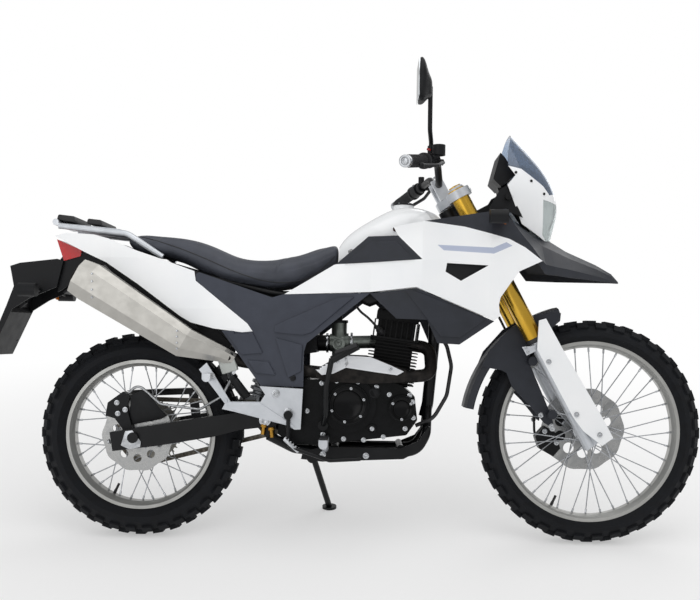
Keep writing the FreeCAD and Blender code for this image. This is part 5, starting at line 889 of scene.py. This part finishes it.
# Black sheets inside the shrouds. The sheet behind the shroud's opening is painted shade: it stands for the
# shadow in the hollow there. The other is a black sheet behind the joint by the side panel.
opening_shade_sheet = ((905, 850), (1060, 850), (1040, 806), (985, 784), (905, 806))
joint_dark_sheet = ((672, 760), (728, 760), (730, 736), (700, 724), (670, 736))
shade_and_joint_sheets = []
for side in flanks:
    skin_y = abs(on_skin("tank_shrouds", 985, 860, side)[0][1])
    shade_and_joint_sheets.append(plate(opening_shade_sheet, side * (skin_y - 13), side * (skin_y - 11), 0.6))
    shade_and_joint_sheets.append(plate(joint_dark_sheet, side * 138, side * 136, 0.6))
fasten(gathered(shade_and_joint_sheets), "shroud_shade_and_joint_sheets", "frame", black_moulding)
panel_bolt_dark = finish("black_zinc_bolt", "#232427", "#1b1c1e", 0.4, 0.05, 0.7, 8, 0.5, 0.02)
panel_bolt = gathered([knob(9, 3, 0, 28, edge=1.0), socket_bolt(6.5)])
panel_seats = both_skins("side_panels", (476, 499))
fasten(placed(panel_bolt, panel_seats), "side_panel_bolts", "frame", panel_bolt_dark)
discard(panel_bolt)

# Nose. A clear polycarbonate headlamp lens, a smoked acrylic screen, a cowl on six screws, a
# black pod with a hard-coated display, and white running-light strips. Polished moulds leave the
# lenses sharp and glossy.


def clear_plastic(name, colour, roughness, transmission, rib=0):
    """A see-through moulding, tinted all through. A lens has ribs, whose pitch is 6.3 times rib in mm."""
    blender_wave_factor = 20
    material = finish(name, colour, colour, roughness, 0.02, 0, 50, 12, 0.01)
    shader = material.node_tree.nodes["Principled BSDF"]
    shader.inputs["Transmission Weight"].default_value = transmission
    shader.inputs["IOR"].default_value = 1.49
    if rib:
        place = add_node(material.node_tree, "ShaderNodeTexCoord")
        ribs = add_node(
            material.node_tree, "ShaderNodeTexWave", {"bands_direction": "Z"},
            {"Scale": 1000 / rib / blender_wave_factor, "Distortion": 0}, {"Vector": (place, "Object")},
        )
        relief = add_node(
            material.node_tree, "ShaderNodeBump", inputs={"Strength": 0.6, "Distance": 0.0006},
            links={"Height": (ribs, "Fac")},
        )
        material.node_tree.links.new(relief.outputs["Normal"], shader.inputs["Normal"])
    return material


headlamp_clear = clear_plastic("clear_polycarbonate", "#c9d2d2", 0.05, 0.55)
smoked_acrylic = clear_plastic("smoked_acrylic", "#8592a4", 0.06, 0.75)
strip_lens = clear_plastic("white_strip_lens", "#b9c1d6", 0.14, 0.1, 4)
paint(headlamp_clear, "headlamp_lens")
paint(smoked_acrylic, "windscreen")
paint(strip_lens, "light_strips")
paint(black_moulding, "dashboard")
display_glass = finish("display_glass", "#101a1c", "#16232a", 0.06, 0.02, 0, 40, 8, 0.004)
display_edge = ((1090.5, 1189.5), (1073.5, 1124), (1077, 1122), (1094, 1187.5))
display = plate(display_edge, -52, 52, 1.4)
fasten(display, "dash_display", "frame", display_glass)
screen_screw = socket_bolt(4.2)
screen_seats = both_skins("headlamp_cowl", (1132, 1128), (1180, 1104), (1222, 1068))
fasten(placed(screen_screw, screen_seats), "screen_screws", "frame", panel_bolt_dark)
discard(screen_screw)

# Lamps at the tail and the indicators. A ribbed red wedge lens under the rack, and black
# indicators with ribbed amber lenses. Their pigment lets little light through.
red_lens = clear_plastic("red_lamp_lens", "#c4070d", 0.1, 0.08, 5)
amber_lens = clear_plastic("amber_lens", "#d9780f", 0.12, 0.3, 4)
paint(red_lens, "tail_lamp")
paint(black_moulding, "indicators")
lens_cap = knob(18, 6, -2.5, 36, 0.7, 1.8)
lens_seats = [((1083.5, side * 214, 975), (1, 0, 0)) for side in flanks]
lens_seats += [((-325.5, side * 146, 747), (-1, 0, 0)) for side in flanks]
fasten(placed(lens_cap, lens_seats), "indicator_lenses", "frame", amber_lens)
discard(lens_cap)

# Tail. A cast aluminium rack with rubber pads, over a black moulded tail and plate holder, and
# a black inner guard between the wheel and the seat.
paint(cast_silver, "carrier")
paint(black_moulding, "rear_mudguard", "inner_mudguard")
rack_rubbers = gathered([
    plate(((-257, 964), (-252, 981), (-202, 976), (-198, 956)), -82, 82, 4),
    plate(((-166, 954), (-162, 970), (-121, 966), (-116, 949)), -82, 82, 4),
])
fasten(rack_rubbers, "rack_rubbers", "frame", seal_rubber)
plate_lamp = knob(13, 34, 2, 28, 0.8, 3)
fasten(placed(plate_lamp, [((-380, 0, 722), (-0.75, 0, -0.65))]), "plate_lamp", "frame", black_moulding)
discard(plate_lamp)

# Hangers, pegs and pedals. Cast aluminium hangers on two button bolts each, folding pegs with
# ribbed rubber tops, a forged brake pedal with a serrated pad, and a black kick-start lever.
paint(cast_silver, "footpeg_hangers", "footpegs")
paint(black_coat, "foot_controls", "side_stand")
hanger_rib = ((277, 436), (375, 429), (460, 376), (487, 356), (460, 357), (296, 407))
ribs = [raised_field("footpeg_hangers", hanger_rib, side, 4, 5, 6, 2) for side in flanks]
fasten(gathered(ribs), "hanger_ribs", "frame", cast_silver)
hanger_bolt = gathered([knob(12, 3, 0, 32, edge=0.8), socket_bolt(8.5)])
hanger_seats = both_skins("footpeg_hangers", (428, 453), (465, 400))
fasten(placed(hanger_bolt, hanger_seats), "hanger_bolts", "frame", bright_zinc)
discard(hanger_bolt)
rib_section = ((560, 324), (560, 330), (585, 330), (585, 324))
rib_count, rib_pitch, rib_width, inner_rib = 7, 13, 8, 140
rubbers = []
for side in flanks:
    for step in range(rib_count):
        near = inner_rib + step * rib_pitch
        rubbers.append(plate(rib_section, side * near, side * (near + rib_width), 1.5))
fasten(gathered(rubbers), "peg_rubbers", "frame", seal_rubber)
teeth = [plate(((452, 318), (457, 327), (503, 287), (495, 280)), -182, -160, 1.2)]
tooth_count, ahead_step, down_step = 6, 7.4, 6.5
for step in range(tooth_count):
    x, z = 459 + step * ahead_step, 325.5 - step * down_step
    tooth_edge = ((x - 1.6, z), (x + 1.4, z + 3.4), (x + 4, z + 1.2), (x + 1.4, z - 2.4))
    teeth.append(plate(tooth_edge, -181, -161, 0.5))
fasten(gathered(teeth), "brake_pedal_pad", "frame", bright_zinc)
kick_rubber = plate(((600, 574), (604, 584), (662, 608), (666, 597)), -264, -256, 2.0)
fasten(kick_rubber, "kick_pedal_rubber", "frame", seal_rubber)

# Rear brake hydraulics. A translucent grey reservoir above a black master cylinder behind the
# right hanger, with a braided hose to the caliper, and brass switch fittings. The braid breaks
# the light into small patches.
reservoir_plastic = clear_plastic("frosted_reservoir", "#b9bdb9", 0.35, 0.15)
braid = finish("braided_steel_hose", "#c2c4c6", "#8f9194", 0.34, 0.08, 1, 2.5, 1.2, 0.08)
brass = finish("brass_fitting", "#b98d3e", "#9b7430", 0.3, 0.06, 1, 8, 0.5, 0.01)
paint(braid, "rear_brake_hose")
paint(seal_rubber, "front_brake_hose", "oil_hoses")
box_edge = ((252, 546), (298, 560), (312, 520), (266, 505))
lid_edge = ((246, 549), (243, 556), (294, 573), (299, 564))
neck_edge = ((262, 510), (270, 484), (284, 489), (276, 514))
fasten(plate(box_edge, -150, -124, 4), "rear_brake_reservoir", "frame", reservoir_plastic)
lid = gathered([plate(lid_edge, -154, -120, 2), plate(neck_edge, -146, -128, 2)])
fasten(lid, "reservoir_lid", "frame", black_moulding)
cylinder_body = gathered([knob(13, 78, 0, 28, edge=2), knob(16, 12, 0, 6, edge=1)])
body_seats = [((292, -138, 500), (0.62, 0, -0.78))]
fasten(placed(cylinder_body, body_seats), "rear_master_cylinder", "frame", caliper_black)
fitting = gathered([knob(7, 30, 2, 6, 0.7, 0.6), knob(10, 8, 0, 24, edge=0.6)])
fitting_seats = [((414, -150, 352), (0.1, 0, -1)), ((392, -146, 360), (-0.1, 0, -1))]
fasten(placed(fitting, fitting_seats), "brake_switch_fittings", "frame", brass)
discard(cylinder_body, fitting)

# Shock absorber. A coil spring round its damper, between the swingarm and the frame. Silver paint
# gives both a soft metallic grey.
spring_paint = finish("silver_spring_paint", "#8f9296", "#7d8084", 0.36, 0.06, 0.6, 12, 0.7, 0.03)
paint(spring_paint, "rear_shock")

# Skid plate. A pressed aluminium sheet sprayed black, folded up ahead of the cases, with
# hexagon bolts along its edges.
paint(black_coat, "skid_plate")
skid_bolt = hex_bolt(7)
skid_seats = both_skins("skid_plate", (566, 268), (696, 266))
fasten(placed(skid_bolt, skid_seats), "skid_plate_bolts", "frame", bright_zinc)
discard(skid_bolt)
